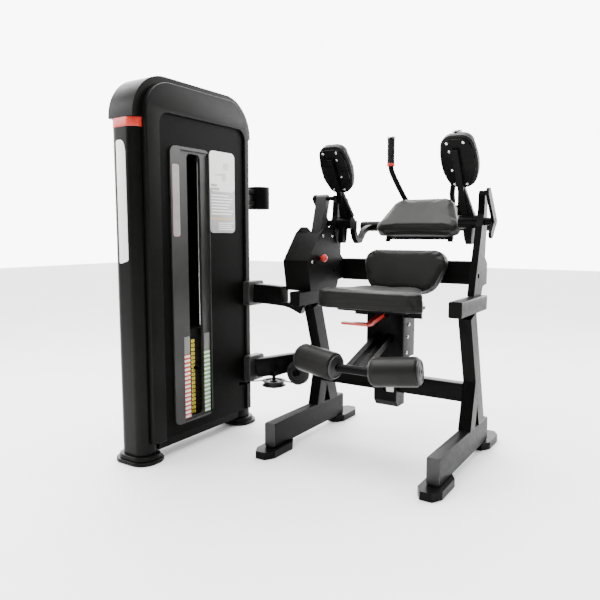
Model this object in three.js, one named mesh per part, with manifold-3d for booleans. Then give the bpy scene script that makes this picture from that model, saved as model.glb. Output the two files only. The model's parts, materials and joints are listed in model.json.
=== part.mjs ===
// Ab crunch machine with a selectorised weight stack, in millimetres, +Z up.
// The user sits facing -Y; the weight tower stands on the -X side.
// The origin is on the floor, under the middle of the whole machine's bounding box.
import * as THREE from "three";
import { mergeVertices } from "three/addons/utils/BufferGeometryUtils.js";
import Module from "manifold-3d";

const wasm = await Module();
wasm.setup();

// ---------------------------------------------------------------- driving dimensions
const GAP = 0.3; // clearance between touching pieces
const ORIGIN = [-0.75, -14, 0]; // moves the model so that its bounding box is centred on the origin

// weight tower
const TOWER_X = -522; // middle of the tower
const TOWER_WIDTH = 132; // across X
const TOWER_DEPTH = 96; // one upright, along Y
const UPRIGHT_FRONT_Y = -524;
const UPRIGHT_REAR_Y = 74;
const BAND_Z = 1287; // underside of the red bands
const BAND_HEIGHT = 34;
const ARCH_RISE = 170; // from the bands to the top of the arch
const FOOT_HEIGHT = 20;
const STACK_Y = -250;
const STACK_BOTTOM = 128;
const PLATE_COUNT = 18;
const PLATE_PITCH = 18;
const SELECTED_PLATES = 7;

// user side frame
const SEAT_X = 226.5; // the seat's middle plane
const POST_HALF = 346; // half spacing of the rails and posts
const RAIL_WIDTH = 50;
const RAIL_BOTTOM = 30;
const RAIL_TOP = 130;
const RAIL_FRONT = -198;
const RAIL_REAR = 372;
const POST_FOOT = [282, RAIL_TOP];
const POST_HEAD = [130, 584];
const CAP_BOTTOM = 590;
const CAP_TOP = 650;
const UPRIGHT_HALF = 334.5;
const MID_BEAM_Y = 395;
const MID_BEAM_Z = 731;

// movement arm
const HUB = [313, 943]; // main pivot, Y and Z
const LEVER_PIN = [218, 1050]; // drive pin on the side plates
const CAM = [251, 728]; // cam shaft: a parallelogram with the hub and the drive pin
const CAM_RADIUS = 60;
const KNOB = [132, 789]; // range knob on the housing's face
const CAM_X = -161; // plane of the cable on the cam
const ARM_HALF = 273; // half spacing of the arm bars
const SIDE_PLATE_HALF = 386;
const SHAFT_RADIUS = 15;

// seat
const SEAT_BOTTOM = 600;
const SEAT_TOP = 676;
const ROLLER_RADIUS = 57;
const ROLLER_LENGTH = 178;

// cable
const CABLE_RADIUS = 3;
const ARC_STEPS = 3; // straight steps of the cable in each bend
const PULLEY_RADIUS = 55;
const GROOVE_RADIUS = 50;
const CABLE_Z = 208; // height of the run near the floor
const CABLE_Y = 150; // plane of the run under the post pulley
const FLOOR_PULLEY = [-312, CABLE_Y - GROOVE_RADIUS, CABLE_Z];
const POST_PULLEY = [CAM_X - GROOVE_RADIUS, CABLE_Y, CABLE_Z + GROOVE_RADIUS];
const DROP_Y = -40; // where the cable comes down inside the tower
const TOP_PULLEY_Z = 1370;

// ---------------------------------------------------------------- helpers
const machine = new THREE.Group();
machine.position.set(...ORIGIN);

const FINISH = {
  frame: { color: 0x161616, roughness: 0.45, metalness: 0.3 },
  shroud: { color: 0x1b1b1b, roughness: 0.5, metalness: 0 },
  collar: { color: 0x4a4a4a, roughness: 0.5, metalness: 0 },
  pad: { color: 0x333333, roughness: 0.6, metalness: 0 },
  red: { color: 0xc81e1a, roughness: 0.4, metalness: 0 },
  chrome: { color: 0xd0d0d0, roughness: 0.15, metalness: 1 },
  iron: { color: 0x222222, roughness: 0.7, metalness: 0.2 },
  rubber: { color: 0x121212, roughness: 0.8, metalness: 0 },
  card: { color: 0xf0f0ee, roughness: 0.5, metalness: 0 },
  cable: { color: 0x101010, roughness: 0.5, metalness: 0 },
};

// adds one named sub-part to the machine
function add(name, finish, geometry) {
  const clean = geometry.index ? geometry.toNonIndexed() : geometry;
  clean.computeVertexNormals();
  const mesh = new THREE.Mesh(clean, new THREE.MeshStandardMaterial(FINISH[finish]));
  mesh.name = name;
  machine.add(mesh);
  return mesh;
}

// closed geometry to manifold solid
function solid(geometry) {
  const bare = geometry.clone();
  bare.deleteAttribute("normal");
  bare.deleteAttribute("uv");
  const merged = mergeVertices(bare, 1e-4);
  return new wasm.Manifold(
    new wasm.Mesh({
      numProp: 3,
      vertProperties: new Float32Array(merged.attributes.position.array),
      triVerts: new Uint32Array(merged.index.array),
    }),
  );
}

// manifold solid back to geometry
function geometryOf(body) {
  const mesh = body.getMesh();
  const geometry = new THREE.BufferGeometry();
  geometry.setAttribute("position", new THREE.BufferAttribute(new Float32Array(mesh.vertProperties), 3));
  geometry.setIndex(new THREE.BufferAttribute(new Uint32Array(mesh.triVerts), 1));
  return geometry;
}

// joins pieces that overlap or lie apart into one geometry
function join(...pieces) {
  return geometryOf(pieces.map(solid).reduce((whole, piece) => whole.add(piece)));
}

// cuts tools out of a geometry
function cut(geometry, ...tools) {
  return geometryOf(tools.map(solid).reduce((whole, tool) => whole.subtract(tool), solid(geometry)));
}

// outline from points, the corners of which may be rounded: [a, b] or [a, b, radius]
function outline(points) {
  const shape = new THREE.Shape();
  const count = points.length;
  points.forEach(([a, b, radius = 0], i) => {
    const corner = new THREE.Vector2(a, b);
    const before = new THREE.Vector2(...points[(i + count - 1) % count].slice(0, 2));
    const after = new THREE.Vector2(...points[(i + 1) % count].slice(0, 2));
    const back = before.sub(corner);
    const ahead = after.sub(corner);
    const reach = radius / Math.tan(back.angleTo(ahead) / 2);
    const start = corner.clone().add(back.setLength(reach));
    const end = corner.clone().add(ahead.setLength(reach));
    if (i === 0) shape.moveTo(start.x, start.y);
    else shape.lineTo(start.x, start.y);
    if (radius > 0) shape.quadraticCurveTo(corner.x, corner.y, end.x, end.y);
  });
  shape.closePath();
  return shape;
}

function rectangle(a0, a1, b0, b1, radius = 0) {
  return outline([
    [a0, b0, radius],
    [a1, b0, radius],
    [a1, b1, radius],
    [a0, b1, radius],
  ]);
}

// extrusions of an outline drawn in (Y, Z), (X, Z) or (X, Y)
function alongX(shape, x0, x1, segments = 3) {
  const geometry = new THREE.ExtrudeGeometry(shape, {
    depth: x1 - x0,
    bevelEnabled: false,
    curveSegments: segments,
  });
  return geometry.applyMatrix4(new THREE.Matrix4().set(0, 0, 1, x0, 1, 0, 0, 0, 0, 1, 0, 0, 0, 0, 0, 1));
}

function alongY(shape, y0, y1, segments = 3) {
  const geometry = new THREE.ExtrudeGeometry(shape, {
    depth: y1 - y0,
    bevelEnabled: false,
    curveSegments: segments,
  });
  return geometry.applyMatrix4(new THREE.Matrix4().set(1, 0, 0, 0, 0, 0, -1, y1, 0, 1, 0, 0, 0, 0, 0, 1));
}

function alongZ(shape, z0, z1, segments = 3) {
  const geometry = new THREE.ExtrudeGeometry(shape, {
    depth: z1 - z0,
    bevelEnabled: false,
    curveSegments: segments,
  });
  return geometry.translate(0, 0, z0);
}

function block(x0, x1, y0, y1, z0, z1, radius = 0) {
  return alongZ(rectangle(x0, x1, y0, y1, radius), z0, z1);
}

// round bar between two points
function rod(from, to, radius, sides = 16) {
  const a = new THREE.Vector3(...from);
  const b = new THREE.Vector3(...to);
  const length = a.distanceTo(b);
  const geometry = new THREE.CylinderGeometry(radius, radius, length, sides, 1);
  const turn = new THREE.Quaternion().setFromUnitVectors(
    new THREE.Vector3(0, 1, 0),
    b.clone().sub(a).divideScalar(length),
  );
  const middle = a.add(b).multiplyScalar(0.5);
  return geometry.applyQuaternion(turn).translate(middle.x, middle.y, middle.z);
}

// straight flat bar in a plane of constant X, between two (Y, Z) points, with round ends if asked
function flatBar(from, to, depth, x0, x1, roundEnds = true) {
  const a = new THREE.Vector2(...from);
  const b = new THREE.Vector2(...to);
  const angle = Math.atan2(b.y - a.y, b.x - a.x);
  const length = a.distanceTo(b);
  const half = depth / 2;
  const reach = roundEnds ? half : 0;
  const corner = roundEnds ? half * 0.98 : 0;
  const shape = rectangle(-reach, length + reach, -half, half, corner);
  const geometry = alongX(shape, x0, x1, 4);
  return geometry.rotateX(angle).translate(0, a.x, a.y);
}

// tube of the given section swept along smooth points
function sweep(points, section, steps) {
  const path = new THREE.CatmullRomCurve3(points.map((p) => new THREE.Vector3(...p)), false, "centripetal");
  return new THREE.ExtrudeGeometry(section, { steps, extrudePath: path, curveSegments: 2 });
}

function circleSection(radius, sides) {
  const shape = new THREE.Shape();
  for (let i = 0; i < sides; i++) {
    const angle = (2 * Math.PI * i) / sides;
    const x = radius * Math.cos(angle);
    const y = radius * Math.sin(angle);
    if (i === 0) shape.moveTo(x, y);
    else shape.lineTo(x, y);
  }
  shape.closePath();
  return shape;
}

// profile of [radius, height] points turned about an axis through centre, pointing along direction
function turned(profile, centre, direction, sides = 24) {
  const geometry = new THREE.LatheGeometry(profile.map((p) => new THREE.Vector2(...p)), sides);
  const turn = new THREE.Quaternion().setFromUnitVectors(
    new THREE.Vector3(0, 1, 0),
    new THREE.Vector3(...direction).normalize(),
  );
  return geometry.applyQuaternion(turn).translate(...centre);
}

// both sides of the seat's middle plane: side is -1 on the tower's side and 1 on the far side
const SIDES = [
  [-1, "left"],
  [1, "right"],
];
function spanX(side, near, far) {
  const a = SEAT_X + side * near;
  const b = SEAT_X + side * far;
  return [Math.min(a, b), Math.max(a, b)];
}

// ---------------------------------------------------------------- weight tower
const TX0 = TOWER_X - TOWER_WIDTH / 2;
const TX1 = TOWER_X + TOWER_WIDTH / 2;
const HALF_DEPTH = TOWER_DEPTH / 2;
const ARCH_BASE = BAND_Z + BAND_HEIGHT;
const SHROUD_X = TX1 + 2; // visible face of the inner shroud

function uprightSection(y, grow = 0) {
  return rectangle(TX0 - grow, TX1 + grow, y - HALF_DEPTH - grow, y + HALF_DEPTH + grow, 40);
}

function buildTowerFrame() {
  const ends = [
    ["front", UPRIGHT_FRONT_Y],
    ["rear", UPRIGHT_REAR_Y],
  ];
  for (const [end, y] of ends) {
    const x = TOWER_X;
    const foot = alongZ(rectangle(x - 96, x + 96, y - 72, y + 72, 55), 0, FOOT_HEIGHT);
    const column = alongZ(uprightSection(y), FOOT_HEIGHT - 5, BAND_Z - GAP, 4);
    add(`tower_upright_${end}`, "frame", join(foot, column));
    add(`red_band_${end}`, "red", alongZ(uprightSection(y, 1.5), BAND_Z, ARCH_BASE - GAP, 4));
  }
  // rounded arch over both uprights: outer outline less the space between them, edges chamfered
  const y0 = UPRIGHT_FRONT_Y - HALF_DEPTH;
  const y1 = UPRIGHT_REAR_Y + HALF_DEPTH;
  const top = ARCH_BASE + ARCH_RISE;
  const outer = (x0, x1, inset) =>
    alongX(
      outline([
        [y0 + inset, ARCH_BASE],
        [y1 - inset, ARCH_BASE],
        [y1 - inset, top - inset, 165 - inset],
        [y0 + inset, top - inset, 165 - inset],
      ]),
      x0,
      x1,
      6,
    );
  const body = join(outer(TX0 + 30, TX1 - 30, 0), outer(TX0 + 9, TX1 - 9, 9), outer(TX0, TX1, 30));
  const inner = alongX(
    outline([
      [y0 + TOWER_DEPTH, ARCH_BASE - 10],
      [y1 - TOWER_DEPTH, ARCH_BASE - 10],
      [y1 - TOWER_DEPTH, top - 50, 30],
      [y0 + TOWER_DEPTH, top - 50, 30],
    ]),
    TX0 - 1,
    TX1 + 1,
    3,
  );
  add("tower_arch", "frame", cut(body, inner));
  const between = [UPRIGHT_FRONT_Y + HALF_DEPTH + GAP, UPRIGHT_REAR_Y - HALF_DEPTH - GAP];
  const baseBeam = block(TX0 + 8, TX1 - 10, ...between, 34, 84);
  const backCover = block(TX0 + 8, TX0 + 14, ...between, 80, ARCH_BASE - 10);
  add("tower_base", "frame", join(baseBeam, backCover));
}

// shroud on the user's side, with a raised border and a long window over the stack
const SHROUD = { y0: -531, y1: 80, z0: 76, z1: 1466 };
const PANEL = { y0: -466, y1: 50, z0: 60, z1: 1352 };
const BEZEL = { y0: -412, y1: -186, z0: 118, z1: 1236 };
const SLOT = { y0: -312, y1: -234, z0: 132, z1: 1214 };

function buildShroud() {
  const { y0, y1, z0, z1 } = SHROUD;
  const face = (a, x0, x1) =>
    alongX(
      outline([
        [y0 + a, z0],
        [y1 - a, z0],
        [y1 - a, z1 - a, 130 - a],
        [y0 + a, z1 - a, 130 - a],
      ]),
      x0,
      x1,
      6,
    );
  const body = join(face(0, SHROUD_X, SHROUD_X + 18), face(6, SHROUD_X + 17, SHROUD_X + 24));
  const recess = alongX(
    outline([
      [PANEL.y0, PANEL.z0],
      [PANEL.y1, PANEL.z0],
      [PANEL.y1, PANEL.z1, 46],
      [PANEL.y0, PANEL.z1, 46],
    ]),
    SHROUD_X + 14,
    SHROUD_X + 30,
    4,
  );
  const hole = alongX(rectangle(BEZEL.y0, BEZEL.y1, BEZEL.z0, BEZEL.z1, 30), SHROUD_X - 5, SHROUD_X + 30);
  const cableSlot = block(SHROUD_X - 5, SHROUD_X + 30, 5, 76, CABLE_Z - 12, CABLE_Z + 7);
  add("inner_shroud", "shroud", cut(body, recess, hole, cableSlot));

  const ring = alongX(
    rectangle(BEZEL.y0 + GAP, BEZEL.y1 - GAP, BEZEL.z0 + GAP, BEZEL.z1 - GAP, 30),
    SHROUD_X,
    SHROUD_X + 22,
  );
  const stripBed = alongX(rectangle(-356, -190, 126, 1224, 3), SHROUD_X + 12, SHROUD_X + 30);
  const slot = alongX(rectangle(SLOT.y0, SLOT.y1, SLOT.z0, SLOT.z1, 20), SHROUD_X - 5, SHROUD_X + 30);
  add("window_bezel", "shroud", cut(ring, stripBed, slot));
  const stripX = SHROUD_X + 12 + GAP;
  const strips = [-350, -229].map((y) => block(stripX, stripX + 2, y, y + 34, 127, 474));
  add("scale_strips", "card", join(...strips, block(stripX, stripX + 2, -350, -195, 127, 131)));
  const placard = alongX(rectangle(-182, -18, 898, 1242, 22), SHROUD_X + 14.3, SHROUD_X + 18);
  add("instruction_placard", "card", placard);
}

// ---------------------------------------------------------------- weight stack
const ROD_Y = [STACK_Y - 88, STACK_Y + 88];
const STACK_TOP = STACK_BOTTOM + PLATE_COUNT * PLATE_PITCH;
const LIFT_BOTTOM = STACK_TOP - SELECTED_PLATES * PLATE_PITCH;
const PIN_Z = LIFT_BOTTOM - 0.5;

// a pile of plates, joined by a core that leaves a groove between each two
function plates(first, last) {
  const z0 = STACK_BOTTOM + first * PLATE_PITCH;
  const z1 = STACK_BOTTOM + last * PLATE_PITCH - 1;
  const slab = (inset, low, high) =>
    block(TOWER_X - 52 + inset, TOWER_X + 46 - inset, STACK_Y - 118 + inset, STACK_Y + 118 - inset, low, high);
  const pile = [slab(3, z0, z1)];
  for (let z = z0; z < z1; z += PLATE_PITCH) pile.push(slab(0, z, z + PLATE_PITCH - 1));
  const bores = [...ROD_Y, STACK_Y].map((y) => rod([TOWER_X, y, z0 - 5], [TOWER_X, y, z1 + 5], 13, 10));
  const pinSpace = rod([TOWER_X - 20, STACK_Y, PIN_Z], [TOWER_X + 60, STACK_Y, PIN_Z], 4.2, 8);
  return cut(join(...pile), ...bores, pinSpace);
}

function buildStack() {
  const rods = ROD_Y.map((y) => rod([TOWER_X, y, 84.3], [TOWER_X, y, 1305], 10, 12));
  const bridge = block(TOWER_X - 20, TOWER_X + 20, STACK_Y - 110, STACK_Y + 110, 1300, 1312);
  const cableHole = rod([TOWER_X, STACK_Y, 1290], [TOWER_X, STACK_Y, 1320], 8, 12);
  add("guide_rods", "chrome", join(...rods, cut(bridge, cableHole)));
  const bumpers = ROD_Y.map((y) => {
    const ring = rod([TOWER_X, y, 84.3], [TOWER_X, y, STACK_BOTTOM - GAP], 28, 16);
    return cut(ring, rod([TOWER_X, y, 80], [TOWER_X, y, 140], 10.3, 12));
  });
  const bumperBase = block(TOWER_X - 14, TOWER_X + 14, ROD_Y[0] + 20, ROD_Y[1] - 20, 84.3, 92);
  add("stack_bumpers", "rubber", join(...bumpers, bumperBase));
  add("resting_plates", "iron", plates(0, PLATE_COUNT - SELECTED_PLATES));
  add("selected_plates", "iron", plates(PLATE_COUNT - SELECTED_PLATES, PLATE_COUNT));
  const head = block(TOWER_X - 45, TOWER_X + 40, STACK_Y - 112, STACK_Y + 112, STACK_TOP, STACK_TOP + 38, 8);
  const bores = ROD_Y.map((y) => rod([TOWER_X, y, 400], [TOWER_X, y, 600], 13, 12));
  const lug = rod([TOWER_X, STACK_Y, STACK_TOP + 30], [TOWER_X, STACK_Y, STACK_TOP + 70], 12);
  add("head_plate", "frame", cut(join(head, lug), ...bores));
  const stem = rod([TOWER_X, STACK_Y, 150], [TOWER_X, STACK_Y, STACK_TOP - GAP], 9.5, 12);
  const pinHole = rod([TOWER_X - 30, STACK_Y, PIN_Z], [TOWER_X + 60, STACK_Y, PIN_Z], 3.6, 8);
  add("selector_stem", "chrome", cut(stem, pinHole));
}

// ---------------------------------------------------------------- pulleys and cable
const pulleyProfile = [
  [0, -13],
  [PULLEY_RADIUS, -13],
  [PULLEY_RADIUS, -9],
  [GROOVE_RADIUS - 6, -3.6],
  [GROOVE_RADIUS - 6, 3.6],
  [PULLEY_RADIUS, 9],
  [PULLEY_RADIUS, 13],
  [0, 13],
];
const BOLT_RADIUS = 8;

// grooved wheel with a bore, turning on an axle along the given direction
function pulley(centre, direction) {
  const wheel = turned(pulleyProfile, centre, direction, 28);
  const d = new THREE.Vector3(...direction).multiplyScalar(30);
  const c = new THREE.Vector3(...centre);
  const bore = rod(c.clone().sub(d).toArray(), c.clone().add(d).toArray(), BOLT_RADIUS + 0.5, 14);
  return cut(wheel, bore);
}

const TOP_PULLEYS = [
  [TOWER_X, STACK_Y + GROOVE_RADIUS, TOP_PULLEY_Z],
  [TOWER_X, DROP_Y - GROOVE_RADIUS, TOP_PULLEY_Z],
];

function buildPulleys() {
  const names = ["top_pulley_front", "top_pulley_rear"];
  TOP_PULLEYS.forEach((centre, i) => add(names[i], "rubber", pulley(centre, [1, 0, 0])));
  const beam = block(TOWER_X - 30, TOWER_X + 30, -475, 25, 1390, 1400);
  const hangers = TOP_PULLEYS.flatMap(([x, y, z]) => [
    block(x - 22, x - 16, y - 14, y + 14, z - 16, 1394),
    block(x + 16, x + 22, y - 14, y + 14, z - 16, 1394),
    rod([x - 20, y, z], [x + 20, y, z], BOLT_RADIUS, 12),
  ]);
  const clear = TOP_PULLEYS.map(([x, y, z]) => rod([x - 15, y, z], [x + 15, y, z], PULLEY_RADIUS + 3, 20));
  const axles = TOP_PULLEYS.map(([x, y, z]) => rod([x - 20, y, z], [x + 20, y, z], BOLT_RADIUS, 12));
  add("pulley_beam", "frame", join(cut(join(beam, ...hangers), ...clear), ...axles));

  add("floor_pulley", "rubber", pulley(FLOOR_PULLEY, [0, 0, 1]));
  add("post_pulley", "rubber", pulley(POST_PULLEY, [0, 1, 0]));
}

// ---------------------------------------------------------------- user side frame
const RAIL_HALF_WIDTH = RAIL_WIDTH / 2;

function foot(x, y, halfLength) {
  const shape = outline([
    [x - 22, y - halfLength],
    [x + 22, y - halfLength],
    [x + 45, y - halfLength + 40],
    [x + 45, y + halfLength - 40],
    [x + 22, y + halfLength],
    [x - 22, y + halfLength],
    [x - 45, y + halfLength - 40],
    [x - 45, y - halfLength + 40],
  ]);
  return alongZ(shape, 0, RAIL_BOTTOM);
}

function buildBase() {
  for (const [side, word] of SIDES) {
    const x = SEAT_X + side * POST_HALF;
    const x0 = x - RAIL_HALF_WIDTH;
    const x1 = x + RAIL_HALF_WIDTH;
    const feet = [foot(x, -164, 103), foot(x, 405, 98)];
    const rail = alongY(rectangle(x0, x1, RAIL_BOTTOM, RAIL_TOP, 7), RAIL_FRONT, RAIL_REAR);
    // inverted V of a leaning post and a strut, standing on the rail and holding a short level cap
    const post = flatBar([POST_FOOT[0] + 26, POST_FOOT[1] - 80], POST_HEAD, 70, x0, x1, false);
    const strut = flatBar([146, 60], [216, 330], 58, x0, x1, false);
    const floor = block(x0 - 5, x1 + 5, -100, 600, -50, RAIL_TOP - 2);
    const ceiling = block(x0 - 5, x1 + 5, -100, 600, CAP_BOTTOM + 2, 800);
    const cap = alongY(rectangle(x0, x1, CAP_BOTTOM, CAP_TOP, 6), -16, 302);
    add(`side_frame_${word}`, "frame", join(cut(join(post, strut), floor, ceiling), rail, cap, ...feet));
  }
  add("middle_beam", "frame", alongX(
    rectangle(MID_BEAM_Y - 25, MID_BEAM_Y + 25, MID_BEAM_Z - 49, MID_BEAM_Z + 49, 6),
    SEAT_X - 330,
    SEAT_X + 330,
  ));
}

// plates that rise from the caps, carry the middle beam and end in the main pivot
function buildUprights() {
  for (const [side, word] of SIDES) {
    const [x0, x1] = spanX(side, UPRIGHT_HALF - 13.7, UPRIGHT_HALF + 13.7);
    const shape = outline([
      [198, CAP_TOP + GAP],
      [300, CAP_TOP + GAP],
      [315, 683],
      [MID_BEAM_Y - 25.3, 690],
      [MID_BEAM_Y - 25.3, 775],
      [334, 800, 20],
      [HUB[0] + 32, 925, 20],
      [HUB[0] + 30, 1040, 8],
      [HUB[0] + 14, 1064, 10],
      [HUB[0] - 4, 1064, 8],
      [HUB[0] - 12, 975, 20],
      [HUB[0] - 34, 925, 20],
    ]);
    const plate = alongX(shape, x0, x1, 3);
    const bore = rod([x0 - 5, ...HUB], [x1 + 5, ...HUB], SHAFT_RADIUS + 0.6, 20);
    const camBore = rod([x0 - 5, ...CAM], [x1 + 5, ...CAM], 10.4, 16);
    add(`upper_upright_${word}`, "frame", cut(plate, bore, camBore));
  }
}

// ---------------------------------------------------------------- tubes between tower and frame
function buildConnection() {
  const x0 = SHROUD_X + 24 + GAP;
  const collars = [
    [568, 680],
    [216, 334],
  ];
  collars.forEach(([z0, z1], i) => {
    add(["upper_collar", "lower_collar"][i], "collar", alongX(rectangle(24, 136, z0, z1, 16), x0, x0 + 36, 4));
  });
  const start = x0 + 36 + GAP;
  const end = SEAT_X - POST_HALF - RAIL_HALF_WIDTH - GAP;
  const wide = rectangle(-44, 44, -27, 27, 10);
  const upper = sweep([[start, 80, 624], [-300, 88, 620], [-210, 100, 610], [end, 112, 580]], wide, 8);
  const lower = sweep([[start, 80, 275], [-345, 108, 282], [-295, 184, 288], [-240, 232, 292], [end, 240, 292]], wide, 11);
  const tidy = (tube) => cut(tube, block(end, end + 200, -300, 600, 0, 900), block(start - 200, start, -300, 600, 0, 900));
  const capSpace = block(end - 100, end + 100, -17, 303, CAP_BOTTOM - GAP, 700);
  add("upper_link_tube", "frame", cut(tidy(upper), capSpace));
  // hanger of the floor pulley, and its axle
  const [fx, fy, fz] = FLOOR_PULLEY;
  const axle = rod([fx, fy, fz - 22], [fx, fy, 260], BOLT_RADIUS, 12);
  const hanger = block(fx - 14, fx + 12, fy - 12, fy + 78, 240, 262);
  const axleHead = rod([fx, fy, fz - 24], [fx, fy, fz - 14], 14, 6);
  const [px, py, pz] = POST_PULLEY;
  const stub = rod([px, py - 24, pz], [px, py + 60, pz], BOLT_RADIUS, 12);
  const stubHead = rod([px, py - 26, pz], [px, py - 14.5, pz], 15, 6);
  add("lower_link_tube", "frame", join(tidy(lower), axle, axleHead, stub, stubHead, hanger));

  // cup holder on two stubs behind the rear upright
  const cy = 246;
  const cup = rod([TOWER_X + 20, cy, 1012], [TOWER_X + 20, cy, 1118], 52, 28);
  const well = rod([TOWER_X + 20, cy, 1018], [TOWER_X + 20, cy, 1130], 47, 28);
  const stubs = [1040, 1092].map((z) => block(TOWER_X + 2, TOWER_X + 38, 122.4, cy - 48, z - 11, z + 11));
  add("cup_holder", "shroud", cut(join(cup, ...stubs), well));
}

// ---------------------------------------------------------------- cam housing
const HOUSING_X = [-206, -79];
const WALL = 4;

function buildHousing() {
  const [x0, x1] = HOUSING_X;
  const side = outline([
    [48, CAP_TOP + GAP],
    [25, 778, 10],
    [122, 897, 8],
    [165, 925, 20],
    [215, 925, 20],
    [252, 903, 10],
    [311, 765, 10],
    [262, CAP_TOP + GAP],
  ]);
  const skin = outline([
    [48, CAP_TOP + GAP],
    [25, 778, 10],
    [122, 897],
    [125, 894],
    [30, 777, 8],
    [53, CAP_TOP + GAP],
  ]);
  const floor = rectangle(50, 190, CAP_TOP + GAP, CAP_TOP + WALL);
  const beamSpace = block(x1 - 10, x1 + 10, 300, 420, 680, 790);
  const shell = join(
    alongX(side, x0, x0 + WALL),
    cut(alongX(side, x1 - WALL, x1), beamSpace),
    alongX(skin, x0, x1),
    alongX(floor, x0, x1),
  );
  const knobBore = rod([x1 - 10, ...KNOB], [x1 + 10, ...KNOB], 6.5, 12);
  const shaft = rod([x0 - 6, ...CAM], [x1 + 6, ...CAM], 9.8, 16);
  add("cam_housing", "frame", join(cut(shell, knobBore), shaft));
  add("range_knob", "red", join(
    rod([x1 - 13, ...KNOB], [x1 + 10, ...KNOB], 6, 12),
    turned([[0, 0], [10, 0], [17, 6], [17, 14], [10, 22], [0, 24]], [x1 + 6, ...KNOB], [1, 0, 0], 20),
  ));
}

// cam with its crank: the crank is parallel to the line from the hub to the drive pin
const CRANK = [CAM[0] + LEVER_PIN[0] - HUB[0], CAM[1] + LEVER_PIN[1] - HUB[1]];
const LINK_X = [-146, -96];

function buildDrive() {
  const groove = CAM_RADIUS - 8;
  const profile = [
    [0, -11],
    [CAM_RADIUS, -11],
    [CAM_RADIUS, -8],
    [groove - 6, -3.6],
    [groove - 6, 3.6],
    [CAM_RADIUS, 8],
    [CAM_RADIUS, 11],
    [0, 11],
  ];
  const wheel = turned(profile, [CAM_X, ...CAM], [1, 0, 0], 28);
  const arm = cut(
    flatBar(CAM, CRANK, 34, CAM_X + 5, CAM_X + 11),
    rod([CAM_X - 20, ...CAM], [CAM_X + 20, ...CAM], CAM_RADIUS - 12, 28),
  );
  const pin = rod([CAM_X + 6, ...CRANK], [LINK_X[1] + 2, ...CRANK], 8, 14);
  const bore = rod([CAM_X - 20, ...CAM], [CAM_X + 20, ...CAM], 10.4, 16);
  add("drive_cam", "frame", cut(join(wheel, arm, pin), bore));

  const link = flatBar(LEVER_PIN, CRANK, 36, ...LINK_X);
  const holes = [
    rod([LINK_X[0] - 5, ...LEVER_PIN], [LINK_X[1] + 5, ...LEVER_PIN], 9.7, 16),
    rod([LINK_X[0] - 5, ...CRANK], [LINK_X[1] + 5, ...CRANK], 9.2, 16),
  ];
  add("drive_link", "collar", cut(link, ...holes));
}

// ---------------------------------------------------------------- movement arm
const ARM_FOOT = [318, 962]; // start of the leaning part of each arm bar
const ARM_LEAN = 31.5; // degrees forward of vertical
const LEAN = THREE.MathUtils.degToRad(ARM_LEAN);

// places a piece drawn with X across, Y towards the user and Z up the arm
function onArm(geometry) {
  return geometry.rotateX(LEAN).translate(0, ...ARM_FOOT);
}

function padOutline(x, halfWidth, low, high) {
  return outline([
    [x - halfWidth * 0.6, low, 34],
    [x + halfWidth * 0.6, low, 34],
    [x + halfWidth, (low * 2 + high) / 3, 60],
    [x + halfWidth, (low + high * 2) / 3, 60],
    [x + halfWidth * 0.76, high, 34],
    [x - halfWidth * 0.76, high, 34],
    [x - halfWidth, (low + high * 2) / 3, 60],
    [x - halfWidth, (low * 2 + high) / 3, 60],
  ]);
}

function buildArms() {
  for (const [side, word] of SIDES) {
    const x = SEAT_X + side * ARM_HALF;
    // the bar is thinner beside the pad, where it stands in the pad's backing plate
    const barSide = outline([
      [-22, -8, 5],
      [22, -8, 5],
      [22, 92],
      [5, 100],
      [5, 300],
      [-22, 300, 5],
    ]);
    const bar = onArm(alongX(barSide, x - 12, x + 12, 2));
    const web = outline([
      [x - 34, 14],
      [x + 34, 14],
      [x + 11, 150],
      [x - 11, 150],
    ]);
    const gusset = onArm(alongY(web, -12, 4));
    const tailX = x + side * 20;
    const tail = flatBar([ARM_FOOT[0] - 4, ARM_FOOT[1]], [300, 872], 40, tailX - 12, tailX + 12);
    const tube = rod([SEAT_X + side * 246, ...HUB], [SEAT_X + side * 319, ...HUB], 27, 20);
    const shaft = rod([SEAT_X + side * 300, ...HUB], [SEAT_X + side * 393, ...HUB], SHAFT_RADIUS, 20);
    const pieces = [bar, gusset, tail, tube, shaft];
    if (side < 0) pieces.push(flatBar(LEVER_PIN, [276, 1040], 26, LINK_X[1] + 30, x - 6));
    pieces.push(onArm(alongY(padOutline(x, 64, 138, 336), -4, 5.7)));
    add(`arm_bar_${word}`, "frame", join(...pieces));
    add(`arm_pad_${word}`, "pad", onArm(alongY(padOutline(x, 77, 124, 350), 6, 50)));

    const [p0, p1] = spanX(side, SIDE_PLATE_HALF - 6, SIDE_PLATE_HALF + 6);
    const plates = [flatBar(LEVER_PIN, HUB, 36, p0, p1), flatBar(HUB, [268, 893], 32, p0, p1)];
    const shaftHole = rod([p0 - 5, ...HUB], [p1 + 5, ...HUB], SHAFT_RADIUS + GAP, 20);
    const pinEnd = side < 0 ? LINK_X[1] + 30 - GAP : SEAT_X + side * 352;
    const pin = rod([SEAT_X + side * (SIDE_PLATE_HALF + 2), ...LEVER_PIN], [pinEnd, ...LEVER_PIN], 9, 16);
    add(`side_plate_${word}`, "frame", join(cut(join(...plates), shaftHole), pin));
  }
}

// tube frame that hangs behind the user from the arm bars and holds the upper pad
const CROSS_TUBE = [553, 931];
const CROSS_RADIUS = 24;
const CROSS_HALF = 322;
const PAD_FOOT = [423, 920]; // lower front edge of the upper pad
const PAD_LEAN = THREE.MathUtils.degToRad(-40.5);

function onPad(geometry) {
  return geometry.rotateX(PAD_LEAN).translate(0, ...PAD_FOOT);
}

// room for the cross tube in a piece that is clamped to it
function crossTubeSpace() {
  return rod([SEAT_X - 330, ...CROSS_TUBE], [SEAT_X + 330, ...CROSS_TUBE], CROSS_RADIUS + 2 * GAP, 24);
}

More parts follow.
